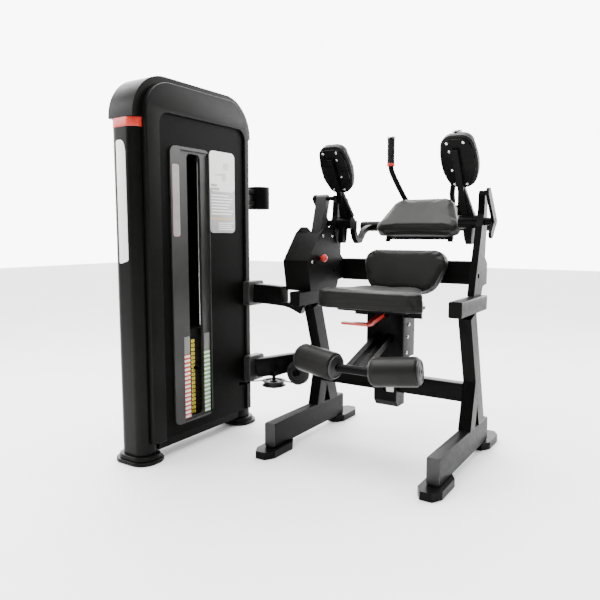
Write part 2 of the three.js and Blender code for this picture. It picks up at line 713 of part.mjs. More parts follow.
function buildUpperPad() {
  const section = rectangle(-12, 12, -12, 12);
  const sides = SIDES.map(([side]) => {
    const x = SEAT_X + side * 264;
    const points = [[347, 930], [362, 884], [388, 860], [416, 866], [440, 896], [476, 916], CROSS_TUBE];
    return sweep(points.map((p) => [x, ...p]), section, 10);
  });
  const cross = rod([SEAT_X - CROSS_HALF, ...CROSS_TUBE], [SEAT_X + CROSS_HALF, ...CROSS_TUBE], CROSS_RADIUS, 24);
  const stubs = SIDES.map(([side]) => {
    const from = [SEAT_X + side * 264, 341, 943];
    return block(Math.min(from[0] - 12, from[0] + 12), from[0] + 12, 340.5, 366, 918, 955);
  });
  add("pad_yoke", "frame", join(...sides, cross, ...stubs));

  const plate = onPad(block(SEAT_X - 150, SEAT_X + 150, 60 + GAP, 66, 4, 190));
  const ribs = [-90, 90].map((dx) => onPad(block(SEAT_X + dx - 4, SEAT_X + dx + 4, 64, 92, 40, 146)));
  const tubeSpace = crossTubeSpace();
  const bar = alongX(rectangle(484, 500, 868, 884, 3), SEAT_X - 160, SEAT_X + 160);
  const feet = SIDES.map(([side]) => rod([SEAT_X + side * 150, 484, 872], [SEAT_X + side * 150, 484, 858], 12, 12));
  const clips = [-120, 120].map((dx) => onPad(block(SEAT_X + dx - 10, SEAT_X + dx + 10, 62, 80, 6, 18)));
  add("pad_carrier", "frame", join(cut(join(plate, ...ribs), tubeSpace), bar, ...feet, ...clips));
  const shape = outline([
    [SEAT_X - 196, -4, 20],
    [SEAT_X + 196, -4, 20],
    [SEAT_X + 200, 40, 60],
    [SEAT_X + 140, 198, 40],
    [SEAT_X - 140, 198, 40],
    [SEAT_X - 200, 40, 60],
  ]);
  add("upper_pad", "pad", onPad(alongY(shape, 0, 60)));
}

function buildHandles() {
  for (const [side, word] of SIDES) {
    const x = (half) => SEAT_X + side * half;
    const path = [
      [x(157), 517, 1318],
      [x(158), 518, 1218],
      [x(150), 530, 1170],
      [x(122), 576, 1084],
      [x(113), 611, 1044],
      [x(110), 607, 1006],
      [x(110), 580, 968],
      [x(110), 558, 944],
    ];
    const stem = sweep(path, circleSection(12.5, 10), 16);
    const tubeSpace = crossTubeSpace();
    add(`handle_${word}`, "frame", cut(stem, tubeSpace));
    const grip = rod([x(157.5), 517.6, 1222], [x(157), 517, 1336], 17, 16);
    const core = rod([x(157.5), 517.6, 1200], [x(157), 517, 1318.6], 14.8, 12);
    const cap = rod([x(157), 517, 1336], [x(157), 517, 1345], 22, 16);
    const ring = rod([x(157.6), 517.7, 1209], [x(157.5), 517.6, 1223], 19, 16);
    add(`grip_${word}`, "rubber", cut(join(grip, cap, ring), core));
  }
}

// ---------------------------------------------------------------- seat
function buildSeat() {
  const wall = 8;
  const mast = [SEAT_X - 51, SEAT_X + 51, 150, 237];
  const sleeve = alongX(
    outline([
      [150, 196],
      [170, 170],
      [237, 170],
      [237, 545],
      [150, 545],
    ]),
    mast[0],
    mast[1],
  );
  const window = block(SEAT_X - 8, SEAT_X + 8, 140, 175, 240, 256);
  const tunnel = block(mast[0] + 10, mast[1] - 10, 160, 227, 300, 560);
  const [barLeft] = spanX(-1, POST_HALF - RAIL_HALF_WIDTH - GAP, 0);
  const [, barRight] = spanX(1, 0, POST_HALF - RAIL_HALF_WIDTH - GAP);
  const crossbar = alongX(rectangle(172, 222, 232, 306, 6), barLeft, barRight);
  add("crossbar_mast", "frame", join(cut(sleeve, window, tunnel), crossbar));

  const outer = block(SEAT_X - 84, SEAT_X + 84, 136, 260, 384, 580, 10);
  const bore = block(mast[0] - 1.5, mast[1] + 1.5, 148.5, 238.5, 380, 575);
  const plate = block(SEAT_X - 150, SEAT_X + 150, -10, 218, 588, SEAT_BOTTOM - GAP, 20);
  const rib = block(SEAT_X - 150, SEAT_X + 150, 160, 172, 552, 590);
  const core = block(SEAT_X - 83, SEAT_X + 83, 140, 256, 578, 590);

  const pad = outline([
    [SEAT_X - 206, -66, 40],
    [SEAT_X + 206, -66, 40],
    [SEAT_X + 236, -20, 40],
    [SEAT_X + 212, 20, 60],
    [SEAT_X + 132, 232, 50],
    [SEAT_X - 132, 232, 50],
    [SEAT_X - 212, 20, 60],
    [SEAT_X - 236, -20, 40],
  ]);
  add("seat_pad", "pad", alongZ(pad, SEAT_BOTTOM, SEAT_TOP, 4));

  // adjusting lever: a bar with a wide paddle, on a pin in the carriage's front
  const lever = flatBar([120, 566], [4, 542], 16, SEAT_X - 10, SEAT_X + 10);
  const paddle = alongZ(
    outline([
      [112, -34, 8],
      [236, -34, 8],
      [240, 8, 8],
      [214, 14, 8],
      [150, -6, 8],
      [114, -10, 8],
    ]),
    534,
    544,
  );
  const ears = [-1, 1].map((side) => {
    const [x0, x1] = spanX(side, 10.5, 16);
    return block(x0, x1, 108, 138, 554, 578);
  });
  const pin = rod([SEAT_X - 16, 120, 566], [SEAT_X + 16, 120, 566], 4, 10);
  add("seat_carriage", "frame", join(cut(join(outer, plate, rib, core), bore), ...ears, pin));
  const pinSpace = rod([SEAT_X - 16, 120, 566], [SEAT_X + 16, 120, 566], 4.6, 10);
  add("seat_lever", "red", cut(join(lever, paddle), pinSpace));
}

// ---------------------------------------------------------------- shin rollers
const ROLLER_INNER = [74, -134, 382];
const ROLLER_OUTER = [250, -106, 400];

function rollerPoint(side, along) {
  const t = along / Math.hypot(...ROLLER_OUTER.map((v, i) => v - ROLLER_INNER[i]));
  const [half, y, z] = ROLLER_INNER.map((v, i) => v + t * (ROLLER_OUTER[i] - v));
  return [SEAT_X + side * half, y, z];
}

function buildRollers() {
  const bars = [-25, 25].map((dx) => flatBar([133, 470], [-126, 380], 30, SEAT_X + dx - 13, SEAT_X + dx + 13, false));
  const seatFace = block(SEAT_X - 60, SEAT_X + 60, 135.7, 200, 380, 560);
  const tube = rod([SEAT_X - 66, -134, 381], [SEAT_X + 66, -134, 381], 17, 16);
  const axles = SIDES.map(([side]) => rod(rollerPoint(side, -14), rollerPoint(side, ROLLER_LENGTH + 8), 9, 12));
  add("roller_frame", "frame", join(cut(join(...bars), seatFace), tube, ...axles));
  for (const [side, word] of SIDES) {
    const bore = rod(rollerPoint(side, -20), rollerPoint(side, ROLLER_LENGTH + 11), 9.6, 12);
    const foam = rod(rollerPoint(side, 4), rollerPoint(side, 4 + ROLLER_LENGTH), ROLLER_RADIUS, 28);
    const disc = rod(rollerPoint(side, ROLLER_LENGTH), rollerPoint(side, ROLLER_LENGTH + 16), 46, 24);
    add(`roller_${word}`, "pad", join(cut(foam, bore), cut(disc, bore)));
  }
}

// ---------------------------------------------------------------- lumbar pad, selector pin, cable
function buildLumbar() {
  const lean = THREE.MathUtils.degToRad(-18.8);
  const shape = outline([
    [SEAT_X - 150, 0, 50],
    [SEAT_X + 150, 0, 50],
    [SEAT_X + 203, 146, 44],
    [SEAT_X + 168, 202, 44],
    [SEAT_X - 168, 202, 44],
    [SEAT_X - 203, 146, 44],
  ]);
  add("lumbar_pad", "pad", alongY(shape, 0, 44).rotateX(lean).translate(0, 267, 645));
}

function buildPin() {
  const z = PIN_Z;
  const x = TOWER_X + 46;
  add("selector_pin", "red", join(
    rod([TOWER_X - 14, STACK_Y, z], [x + 1, STACK_Y, z], 3, 8),
    rod([x + GAP, STACK_Y, z], [x + 14, STACK_Y, z], 9, 16),
  ));
}

function buildCable() {
  const section = circleSection(CABLE_RADIUS, 8);
  const lugTop = STACK_TOP + 70 + GAP;
  add("stack_cable", "cable", rod([TOWER_X, STACK_Y, lugTop], [TOWER_X, STACK_Y, TOP_PULLEY_Z - 10], CABLE_RADIUS, 8));
  const [, rear] = TOP_PULLEYS[1];
  const r = GROOVE_RADIUS;
  // arc of cable round a pulley, from one direction to another in the plane of two unit vectors
  const arc = ([x, y, z], across, up, from, to) =>
    Array.from({ length: ARC_STEPS + 1 }, (_, i) => {
      const angle = THREE.MathUtils.degToRad(from + ((to - from) * i) / ARC_STEPS);
      const [c, d] = [r * Math.cos(angle), r * Math.sin(angle)];
      return [x + c * across[0] + d * up[0], y + c * across[1] + d * up[1], z + c * across[2] + d * up[2]];
    });
  // direction of the run from the tower to the back of the floor pulley
  const [fx, fy] = FLOOR_PULLEY;
  const reach = Math.hypot(fx - TOWER_X, fy - DROP_Y);
  const heading = Math.atan2(fy - DROP_Y, fx - TOWER_X) + Math.asin(r / reach);
  const ahead = [Math.cos(heading), Math.sin(heading), 0];
  const bend = [TOWER_X + r * ahead[0], DROP_Y + r * ahead[1], CABLE_Z + r];
  const turnDegrees = THREE.MathUtils.radToDeg(heading);
  const points = [
    [TOWER_X, STACK_Y, TOP_PULLEY_Z - 9],
    ...arc(TOP_PULLEYS[0], [0, 1, 0], [0, 0, 1], 180, 90),
    ...arc([TOWER_X, rear, TOP_PULLEY_Z], [0, 1, 0], [0, 0, 1], 90, 0),
    ...arc(bend, ahead, [0, 0, 1], 180, 270),
    ...arc(FLOOR_PULLEY, [1, 0, 0], [0, 1, 0], 90 + turnDegrees, 90),
    ...arc(POST_PULLEY, [1, 0, 0], [0, 0, 1], 270, 360),
    [CAM_X, CABLE_Y, CABLE_Z + r + 34],
    [CAM_X, CAM[0] + CAM_RADIUS - 8, CAM[1] - 14],
  ];
  const links = points.slice(1).map((p, i) => {
    const from = new THREE.Vector3(...points[i]);
    const to = new THREE.Vector3(...p);
    const lap = to.clone().sub(from).setLength(i === 0 ? 0 : CABLE_RADIUS / 3);
    return rod(from.sub(lap).toArray(), to.add(lap).toArray(), CABLE_RADIUS, 8);
  });
  add("drive_cable", "cable", join(...links));
}

buildTowerFrame();
buildShroud();
buildStack();
buildPin();
buildPulleys();
buildBase();
buildUprights();
buildConnection();
buildHousing();
buildDrive();
buildArms();
buildUpperPad();
buildHandles();
buildSeat();
buildRollers();
buildLumbar();
buildCable();

export default machine;
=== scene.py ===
# %% [markdown]
# # Ab crunch machine with a weight-stack tower
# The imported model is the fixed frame: it holds every tube, plate and joint at its true place.
# This lesson dresses that frame. Each step makes one kind of piece with mesh operators and gives
# it a finish made of shader nodes, and then lets the piece ride on the body that carries it.

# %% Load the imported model
import json
import math

import bmesh
import bpy
from mathutils import Matrix, Vector

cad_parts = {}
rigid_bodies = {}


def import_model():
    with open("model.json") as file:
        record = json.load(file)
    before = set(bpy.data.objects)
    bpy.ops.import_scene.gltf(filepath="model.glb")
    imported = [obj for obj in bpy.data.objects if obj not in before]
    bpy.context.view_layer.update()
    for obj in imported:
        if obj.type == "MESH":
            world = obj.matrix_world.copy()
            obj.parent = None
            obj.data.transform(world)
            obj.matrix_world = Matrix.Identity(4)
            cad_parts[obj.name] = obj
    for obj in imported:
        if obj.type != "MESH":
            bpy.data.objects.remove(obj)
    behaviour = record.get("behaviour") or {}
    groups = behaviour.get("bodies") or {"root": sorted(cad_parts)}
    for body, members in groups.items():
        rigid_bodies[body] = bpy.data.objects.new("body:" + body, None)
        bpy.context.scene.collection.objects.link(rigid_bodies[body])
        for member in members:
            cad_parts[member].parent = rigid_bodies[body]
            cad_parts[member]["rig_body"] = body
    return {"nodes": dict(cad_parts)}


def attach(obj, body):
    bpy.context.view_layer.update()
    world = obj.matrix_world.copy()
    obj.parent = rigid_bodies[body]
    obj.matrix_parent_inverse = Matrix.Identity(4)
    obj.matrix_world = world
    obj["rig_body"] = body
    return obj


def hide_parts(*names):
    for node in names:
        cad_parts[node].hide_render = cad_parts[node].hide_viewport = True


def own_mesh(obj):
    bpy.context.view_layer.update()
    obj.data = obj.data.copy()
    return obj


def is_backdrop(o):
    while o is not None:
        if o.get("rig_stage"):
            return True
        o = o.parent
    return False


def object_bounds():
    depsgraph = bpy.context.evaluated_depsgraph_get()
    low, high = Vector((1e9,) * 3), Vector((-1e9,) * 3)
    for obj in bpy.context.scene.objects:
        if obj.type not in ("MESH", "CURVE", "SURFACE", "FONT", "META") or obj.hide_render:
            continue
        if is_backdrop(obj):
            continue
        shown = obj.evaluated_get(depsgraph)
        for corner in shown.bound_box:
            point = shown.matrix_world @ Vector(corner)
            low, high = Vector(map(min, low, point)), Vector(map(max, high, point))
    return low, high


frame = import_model()
packed_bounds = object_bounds()

# %% [markdown]
# ## Camera, floor and light
# A gym machine is tall and open, so it is shown from a little below its top, with a lens that
# keeps the uprights almost parallel. Large soft lamps suit black powder coat: the paint shows
# its shape only through what it reflects, so the lamps are wide and stand on several sides.
# The surround is bright on the far side and dim behind the camera, so front faces stay black.

# %% Camera
EYE = Vector((1.26025, -2.114, 0.892))
TURN = math.radians(33.0)
DIP = math.radians(6.3)

camera_data = bpy.data.cameras.new("camera")
camera_data.lens = 35.7
camera_data.sensor_width = 36.0
camera = bpy.data.objects.new("camera", camera_data)
camera.location = EYE
camera.rotation_euler = (math.pi / 2 - DIP, 0.0, TURN)
bpy.context.scene.collection.objects.link(camera)
bpy.context.scene.camera = camera
print("camera at", tuple(round(v, 3) for v in camera.location))

# %% Soft lamps and a bright surround
LAMPS = {
    "overhead": ((-0.2, -0.4, 3.6), (0.0, 0.0, 0.6), 3.4, 300.0),
    "window_left": ((-3.2, -2.4, 2.4), (-0.3, 0.0, 0.8), 2.4, 130.0),
    "fill_front": ((1.6, -3.8, 1.9), (0.1, 0.0, 0.7), 2.6, 12.0),
    "rim_back": ((1.6, 3.2, 2.6), (0.1, 0.2, 0.9), 2.4, 60.0),
}
for lamp_name, (place, target, size, power) in LAMPS.items():
    lamp_data = bpy.data.lights.new(lamp_name, "AREA")
    lamp_data.shape = "DISK"
    lamp_data.size = size
    lamp_data.energy = power
    lamp = bpy.data.objects.new(lamp_name, lamp_data)
    lamp.location = place
    aim = Vector(target) - Vector(place)
    lamp.rotation_euler = aim.to_track_quat("-Z", "Y").to_euler()
    bpy.context.scene.collection.objects.link(lamp)

# how far a direction points away from the camera, from and to, and the strength at each
BACKDROP = (0.0, 0.6, 0.15, 9.0)
world = bpy.data.worlds.new("surround")
world.use_nodes = True
sky = world.node_tree
direction = sky.nodes.new("ShaderNodeTexCoord").outputs["Generated"]
facing = sky.nodes.new("ShaderNodeVectorMath")
facing.operation = "DOT_PRODUCT"
facing.inputs[1].default_value = (-math.sin(TURN), math.cos(TURN), 0.0)
sky.links.new(direction, facing.inputs[0])
backdrop = sky.nodes.new("ShaderNodeMapRange")
for socket, value in zip(("From Min", "From Max", "To Min", "To Max"), BACKDROP):
    backdrop.inputs[socket].default_value = value
sky.links.new(facing.outputs["Value"], backdrop.inputs["Value"])
sky.nodes["Background"].inputs["Color"].default_value = (1.0, 1.0, 1.0, 1.0)
sky.links.new(backdrop.outputs["Result"], sky.nodes["Background"].inputs["Strength"])
bpy.context.scene.world = world
print("lamps:", list(LAMPS))

# %% [markdown]
# ## Finishes
# Every finish is a small graph of shader nodes on Object coordinates, so it needs no image and
# no unwrapping. One builder serves them all: a broad noise drifts the colour, a fine noise
# breaks up the gloss, and a third one raises the grain. What is the same all over a surface,
# such as a coat or a sheen, is set on the shader's own sockets.

# %% The finish builder
MM = 0.001


def new_material(name):
    made = bpy.data.materials.new(name)
    made.use_nodes = True
    return made, made.node_tree, made.node_tree.nodes["Principled BSDF"]


def noise(tree, scale, detail=4.0, coordinates=None):
    node = tree.nodes.new("ShaderNodeTexNoise")
    node.inputs["Scale"].default_value = scale
    node.inputs["Detail"].default_value = detail
    if coordinates is None:
        coordinates = tree.nodes.new("ShaderNodeTexCoord").outputs["Object"]
    tree.links.new(coordinates, node.inputs["Vector"])
    return node.outputs["Fac"]


def spread(tree, factor, low, high, start=0.3, stop=0.7):
    node = tree.nodes.new("ShaderNodeMapRange")
    node.inputs["From Min"].default_value = start
    node.inputs["From Max"].default_value = stop
    node.inputs["To Min"].default_value = low
    node.inputs["To Max"].default_value = high
    tree.links.new(factor, node.inputs["Value"])
    return node.outputs["Result"]


def two_tone(tree, factor, dark, light, start=0.3, stop=0.7):
    ramp = tree.nodes.new("ShaderNodeValToRGB")
    ramp.color_ramp.elements[0].position = start
    ramp.color_ramp.elements[0].color = (*dark, 1.0)
    ramp.color_ramp.elements[1].position = stop
    ramp.color_ramp.elements[1].color = (*light, 1.0)
    tree.links.new(factor, ramp.inputs["Fac"])
    return ramp.outputs["Color"]


def raise_grain(tree, shader, height, strength, distance):
    bump = tree.nodes.new("ShaderNodeBump")
    bump.inputs["Strength"].default_value = strength
    bump.inputs["Distance"].default_value = distance
    tree.links.new(height, bump.inputs["Height"])
    tree.links.new(bump.outputs["Normal"], shader.inputs["Normal"])
    return bump


def surface(name, dark, light, drift, gloss, grain=None, **sockets):
    """A finish: two tones, the size of their drift, a (low, high) roughness, and a grain."""
    made, tree, shader = new_material(name)
    colour = two_tone(tree, noise(tree, drift, 3.0), dark, light)
    tree.links.new(colour, shader.inputs["Base Color"])
    rough = spread(tree, noise(tree, drift * 7.0, 5.0), *gloss)
    tree.links.new(rough, shader.inputs["Roughness"])
    if grain:
        grain_scale, strength, distance = grain
        raise_grain(tree, shader, noise(tree, grain_scale, 2.0), strength, distance)
    for socket, value in sockets.items():
        shader.inputs[socket.replace("_", " ")].default_value = value
    return made


# %% [markdown]
# The frame is steel tube under a satin black powder coat, which sets with a faint orange-peel
# skin. The moulded covers are black too, but duller and with a finer spark-eroded texture.

# %% Paints, plastics and metals
FRAME_PAINT = surface("powder_coat_black", (0.0012, 0.00125, 0.0012), (0.0026, 0.0027, 0.0025), 9.0,
                      (0.32, 0.42), (620.0, 0.12, 0.0004), Specular_IOR_Level=0.06)
TOWER_PAINT = surface("powder_coat_tower", (0.0018, 0.0019, 0.0016), (0.0034, 0.0035, 0.0030), 6.0,
                      (0.28, 0.38), (560.0, 0.10, 0.0004), Specular_IOR_Level=0.08)
LINK_PAINT = surface("charcoal_paint", (0.005, 0.005, 0.0048), (0.008, 0.008, 0.0077), 14.0,
                     (0.34, 0.44), (700.0, 0.10, 0.0003), Specular_IOR_Level=0.5)
COVER_PLASTIC = surface("moulded_black", (0.0010, 0.00105, 0.0010), (0.0020, 0.0021, 0.0019), 12.0,
                        (0.44, 0.56), (900.0, 0.18, 0.0004), Specular_IOR_Level=0.04)
BORDER_PLASTIC = surface("moulded_charcoal", (0.0022, 0.0023, 0.0021), (0.0036, 0.0037, 0.0034), 12.0,
                         (0.36, 0.48), (900.0, 0.16, 0.0004), Specular_IOR_Level=0.08)
COLLAR_PLASTIC = surface("moulded_grey", (0.010, 0.010, 0.0096), (0.015, 0.015, 0.0145), 16.0,
                         (0.42, 0.54), (800.0, 0.16, 0.0004))
RED_PLASTIC = surface("red_trim", (0.44, 0.016, 0.008), (0.54, 0.024, 0.012), 20.0,
                      (0.32, 0.44), (700.0, 0.08, 0.0003), Coat_Weight=0.15, Coat_Roughness=0.2)
RUBBER = surface("black_rubber", (0.002, 0.002, 0.0019), (0.0035, 0.0035, 0.0034), 30.0,
                 (0.55, 0.68), (500.0, 0.3, 0.0006), Specular_IOR_Level=0.2)
CHROME = surface("polished_steel", (0.58, 0.58, 0.57), (0.68, 0.68, 0.67), 40.0,
                 (0.12, 0.22), (300.0, 0.04, 0.0003), Metallic=1.0)
PLATE_ENAMEL = surface("cast_plate_enamel", (0.004, 0.004, 0.004), (0.009, 0.009, 0.0088), 25.0,
                       (0.46, 0.62), (260.0, 0.35, 0.0008), Metallic=0.2)
NYLON = surface("pulley_nylon", (0.004, 0.004, 0.004), (0.007, 0.007, 0.0068), 30.0,
                (0.40, 0.52), (500.0, 0.12, 0.0004))
CABLE_JACKET = surface("cable_jacket", (0.006, 0.006, 0.006), (0.011, 0.011, 0.011), 60.0,
                       (0.26, 0.36), (900.0, 0.10, 0.0002))
WHITE_PRINT = surface("white_sheet", (0.80, 0.80, 0.78), (0.86, 0.86, 0.84), 8.0,
                      (0.30, 0.38), (900.0, 0.04, 0.0002))
print("materials:", len(bpy.data.materials))

# %% [markdown]
# The pads are covered in one charcoal vinyl. The arm pads take a darker copy of it, which is painted
# shade: the same vinyl made darker because less light falls on them. Its grain is a field of small
# cells with soft creases between them, which a Voronoi texture gives, and a broad noise varies
# its gloss. A weak sheen stands in for the soft plasticised surface.

# %% Vinyl for the pads
VINYL_CELLS = 520.0


def vinyl(name, dark, light):
    made, tree, shader = new_material(name)
    place = tree.nodes.new("ShaderNodeTexCoord").outputs["Object"]
    colour = two_tone(tree, noise(tree, 5.0, 4.0, place), dark, light)
    tree.links.new(colour, shader.inputs["Base Color"])
    rough = spread(tree, noise(tree, 14.0, 4.0, place), 0.40, 0.52)
    tree.links.new(rough, shader.inputs["Roughness"])
    cells = tree.nodes.new("ShaderNodeTexVoronoi")
    cells.feature = "DISTANCE_TO_EDGE"
    cells.inputs["Scale"].default_value = VINYL_CELLS
    tree.links.new(place, cells.inputs["Vector"])
    creases = raise_grain(tree, shader, cells.outputs["Distance"], 0.22, 0.0006)
    dimples = tree.nodes.new("ShaderNodeBump")
    dimples.inputs["Strength"].default_value = 0.10
    dimples.inputs["Distance"].default_value = 0.004
    tree.links.new(noise(tree, 24.0, 2.0, place), dimples.inputs["Height"])
    tree.links.new(dimples.outputs["Normal"], creases.inputs["Normal"])
    shader.inputs["Specular IOR Level"].default_value = 0.14
    shader.inputs["Sheen Weight"].default_value = 0.02
    shader.inputs["Sheen Roughness"].default_value = 0.4
    return made


PAD_VINYL = vinyl("pad_vinyl", (0.0065, 0.0066, 0.0058), (0.010, 0.0101, 0.0090))
# the arm pads' vinyl is the pad vinyl made darker, which is painted shade
ARM_VINYL_PAINTED_SHADE = vinyl("arm_vinyl_painted_shade", (0.0030, 0.0031, 0.0028), (0.005, 0.0051, 0.0047))
print("vinyl cells per metre:", VINYL_CELLS)

# %% [markdown]
# ## Making and placing pieces
# Shapes are drawn in millimetres on the maker's drawing, whose zero lies a little to the side
# of the frame's origin. A prism starts as one face, grows by an extrude, and has its corners
# and rims rounded by bevels. A turned piece is a half profile, spun through a full turn.

# %% Prisms
DRAWING = Matrix.Translation(Vector((-0.75, -14.0, 0.0)) * MM)
ACROSS = {"X": (1, 2, 0), "Y": (0, 2, 1), "Z": (0, 1, 2)}


def point_on(axis, a, b, along):
    first, second, third = ACROSS[axis]
    place = Vector((0.0, 0.0, 0.0))
    place[first], place[second], place[third] = a, b, along
    return place * MM


def soften(bm, edges, width, segments=3):
    bmesh.ops.bevel(bm, geom=edges, offset=width * MM, offset_type="OFFSET", segments=segments,
                    profile=0.5, affect="EDGES", clamp_overlap=True, material=-1)


def prism(corners, axis, start, end, segments=8):
    """A closed prism along an axis. Corners are (a, b) or (a, b, radius), in millimetres."""
    bm = bmesh.new()
    ring = [bm.verts.new(point_on(axis, c[0], c[1], start)) for c in corners]
    face = bm.faces.new(ring)
    grown = bmesh.ops.extrude_face_region(bm, geom=[face])
    lifted = [g for g in grown["geom"] if isinstance(g, bmesh.types.BMVert)]
    bmesh.ops.translate(bm, vec=point_on(axis, 0, 0, end - start), verts=lifted)
    for radius in sorted({c[2] for c in corners if len(c) > 2 and c[2] > 0}):
        feet = [point_on(axis, c[0], c[1], start) for c in corners if len(c) > 2 and c[2] == radius]
        along = ACROSS[axis][2]
        chosen = []
        for edge in bm.edges:
            a, b = (v.co for v in edge.verts)
            if abs(a[along] - b[along]) < 1e-6:
                continue
            flat = a.copy()
            flat[along] = start * MM
            if any((flat - foot).length < 1e-5 for foot in feet):
                chosen.append(edge)
        soften(bm, chosen, radius, segments)
    bmesh.ops.recalc_face_normals(bm, faces=bm.faces)
    return bm


def rims(bm, axis, test=None):
    """The edges that run round the two ends of a prism."""
    along = ACROSS[axis][2]
    ends = (min(v.co[along] for v in bm.verts), max(v.co[along] for v in bm.verts))
    found = []
    for edge in bm.edges:
        a, b = (v.co for v in edge.verts)
        if any(abs(a[along] - e) < 1e-6 and abs(b[along] - e) < 1e-6 for e in ends):
            if test is None or test((a + b) / 2):
                found.append(edge)
    return found


def rectangle(a0, a1, b0, b1, radius=0.0):
    return [(a0, b0, radius), (a1, b0, radius), (a1, b1, radius), (a0, b1, radius)]


# %% Turned pieces and tubes
def turned(profile, centre=(0, 0, 0), direction=(0, 0, 1), steps=48):
    """Profile points are (radius, height) in millimetres, spun round an axis through centre."""
    bm = bmesh.new()
    verts = [bm.verts.new((r * MM, 0.0, h * MM)) for r, h in profile]
    edges = [bm.edges.new(pair) for pair in zip(verts, verts[1:])]
    bmesh.ops.spin(bm, geom=verts + edges, cent=(0, 0, 0), axis=(0, 0, 1), angle=math.tau,
                   steps=steps, use_merge=True, use_duplicate=False)
    bmesh.ops.remove_doubles(bm, verts=bm.verts, dist=1e-6)
    turn = Vector((0, 0, 1)).rotation_difference(Vector(direction)).to_matrix().to_4x4()
    bmesh.ops.transform(bm, matrix=Matrix.Translation(Vector(centre) * MM) @ turn, verts=bm.verts)
    bmesh.ops.recalc_face_normals(bm, faces=bm.faces)
    return bm


def tube(points, radius, sides=16):
    """A round tube along straight runs between points in millimetres, closed at both ends."""
    curve = bpy.data.curves.new("tube", "CURVE")
    curve.dimensions = "3D"
    curve.bevel_depth = radius * MM
    curve.bevel_resolution = sides // 4
    curve.use_fill_caps = True
    line = curve.splines.new("POLY")
    line.points.add(len(points) - 1)
    for spot, place in zip(line.points, points):
        spot.co = (*(Vector(place) * MM), 1.0)
    holder = bpy.data.objects.new("tube", curve)
    bpy.context.scene.collection.objects.link(holder)
    bm = bmesh.new()
    bm.from_mesh(holder.to_mesh())
    holder.to_mesh_clear()
    bpy.data.objects.remove(holder)
    bmesh.ops.remove_doubles(bm, verts=bm.verts, dist=1e-6)
    bmesh.ops.recalc_face_normals(bm, faces=bm.faces)
    return bm


def smooth_line(points, steps=8):
    """Points of a Catmull-Rom curve through the given points."""
    ends = [points[0], *points, points[-1]]
    line = []
    for a, b, c, d in zip(ends, ends[1:], ends[2:], ends[3:]):
        a, b, c, d = (Vector(p) for p in (a, b, c, d))
        for i in range(steps):
            t = i / steps
            line.append(0.5 * (2 * b + (c - a) * t + (2 * a - 5 * b + 4 * c - d) * t**2
                               + (3 * b - a - 3 * c + d) * t**3))
    return [*line, Vector(points[-1])]


# %% From mesh to piece
def to_object(name, bm, place=DRAWING):
    bmesh.ops.transform(bm, matrix=place, verts=bm.verts)
    mesh = bpy.data.meshes.new(name)
    bm.to_mesh(mesh)
    bm.free()
    made = bpy.data.objects.new(name, mesh)
    bpy.context.scene.collection.objects.link(made)
    return made


def shade(made, angle=35.0):
    made.data.shade_smooth()
    made.data.set_sharp_from_angle(angle=math.radians(angle))


def piece(name, bm, body, material, nodes=(), place=DRAWING, angle=35.0):
    made = to_object(name, bm, place)
    shade(made, angle)
    made.data.materials.append(material)
    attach(made, body)
    if nodes:
        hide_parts(*nodes)
    return made


def merged(*parts):
    """One mesh that holds several closed shells."""
    whole = bmesh.new()
    for part in parts:
        mesh = bpy.data.meshes.new("part")
        part.to_mesh(mesh)
        part.free()
        whole.from_mesh(mesh)
        bpy.data.meshes.remove(mesh)
    return whole


def carve(bm, *cutters):
    """Cuts closed shells out of a closed shell."""
    target = to_object("carved", bm, Matrix.Identity(4))
    tools = [to_object("cutter", c, Matrix.Identity(4)) for c in cutters]
    for tool in tools:
        cut = target.modifiers.new("cut", "BOOLEAN")
        cut.object = tool
        cut.operation = "DIFFERENCE"
        cut.solver = "EXACT"
    bpy.context.view_layer.update()
    made = bmesh.new()
    made.from_object(target, bpy.context.evaluated_depsgraph_get())
    for used in [target, *tools]:
        bpy.data.objects.remove(used)
    return made


# %% [markdown]
# ## Frame parts with eased edges
# Cut tube and plate never has a razor edge: grinding and paint leave a radius of a millimetre
# or two, and that radius is what catches the light. So each frame part is a merged copy of its
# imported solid, with a Bevel modifier on every edge that turns by more than the limit.

# %% Dress the frame parts
def eased(made, width, segments=3, limit=32.0):
    ease = made.modifiers.new("eased edges", "BEVEL")
    ease.width = width * MM
    ease.segments = segments
    ease.limit_method = "ANGLE"
    ease.angle_limit = math.radians(limit)
    ease.harden_normals = True
    return made


def dressed(node, material, width=1.6, segments=2, limit=32.0):
    source = frame["nodes"][node]
    bm = bmesh.new()
    bm.from_mesh(source.data)
    bmesh.ops.remove_doubles(bm, verts=bm.verts, dist=2e-5)
    bmesh.ops.dissolve_limit(bm, angle_limit=math.radians(0.6), verts=bm.verts, edges=bm.edges)
    made = piece(node + "_skin", bm, source["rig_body"], material, (node,), Matrix.Identity(4))
    if width:
        eased(made, width, segments, limit)
    return made


PAINTED = {
    "tower_base": 2.0, "side_frame_left": 4.0, "side_frame_right": 4.0, "middle_beam": 4.0,
    "upper_upright_left": 2.5, "upper_upright_right": 2.5, "upper_link_tube": 2.0,
    "lower_link_tube": 1.5, "cam_housing": 1.5, "crossbar_mast": 3.0, "arm_bar_left": 2.0,
    "arm_bar_right": 2.0, "side_plate_left": 2.0, "side_plate_right": 2.0, "pad_yoke": 2.5,
    "pad_carrier": 1.2, "seat_carriage": 2.5, "roller_frame": 2.0, "drive_cam": 1.0,
    "pulley_beam": 1.5,
}
for node, width in PAINTED.items():
    dressed(node, FRAME_PAINT, width)
dressed("drive_link", LINK_PAINT, 2.0)
dressed("resting_plates", PLATE_ENAMEL, 0.8, 1)
dressed("selected_plates", PLATE_ENAMEL, 0.8, 1)
dressed("head_plate", PLATE_ENAMEL, 1.2)
dressed("guide_rods", CHROME, 0.6, 1)
dressed("selector_stem", CHROME, 0.5, 1)
dressed("stack_bumpers", RUBBER, 1.0, 1)
dressed("upper_collar", COLLAR_PLASTIC, 3.0, 3)
dressed("lower_collar", COLLAR_PLASTIC, 3.0, 3)
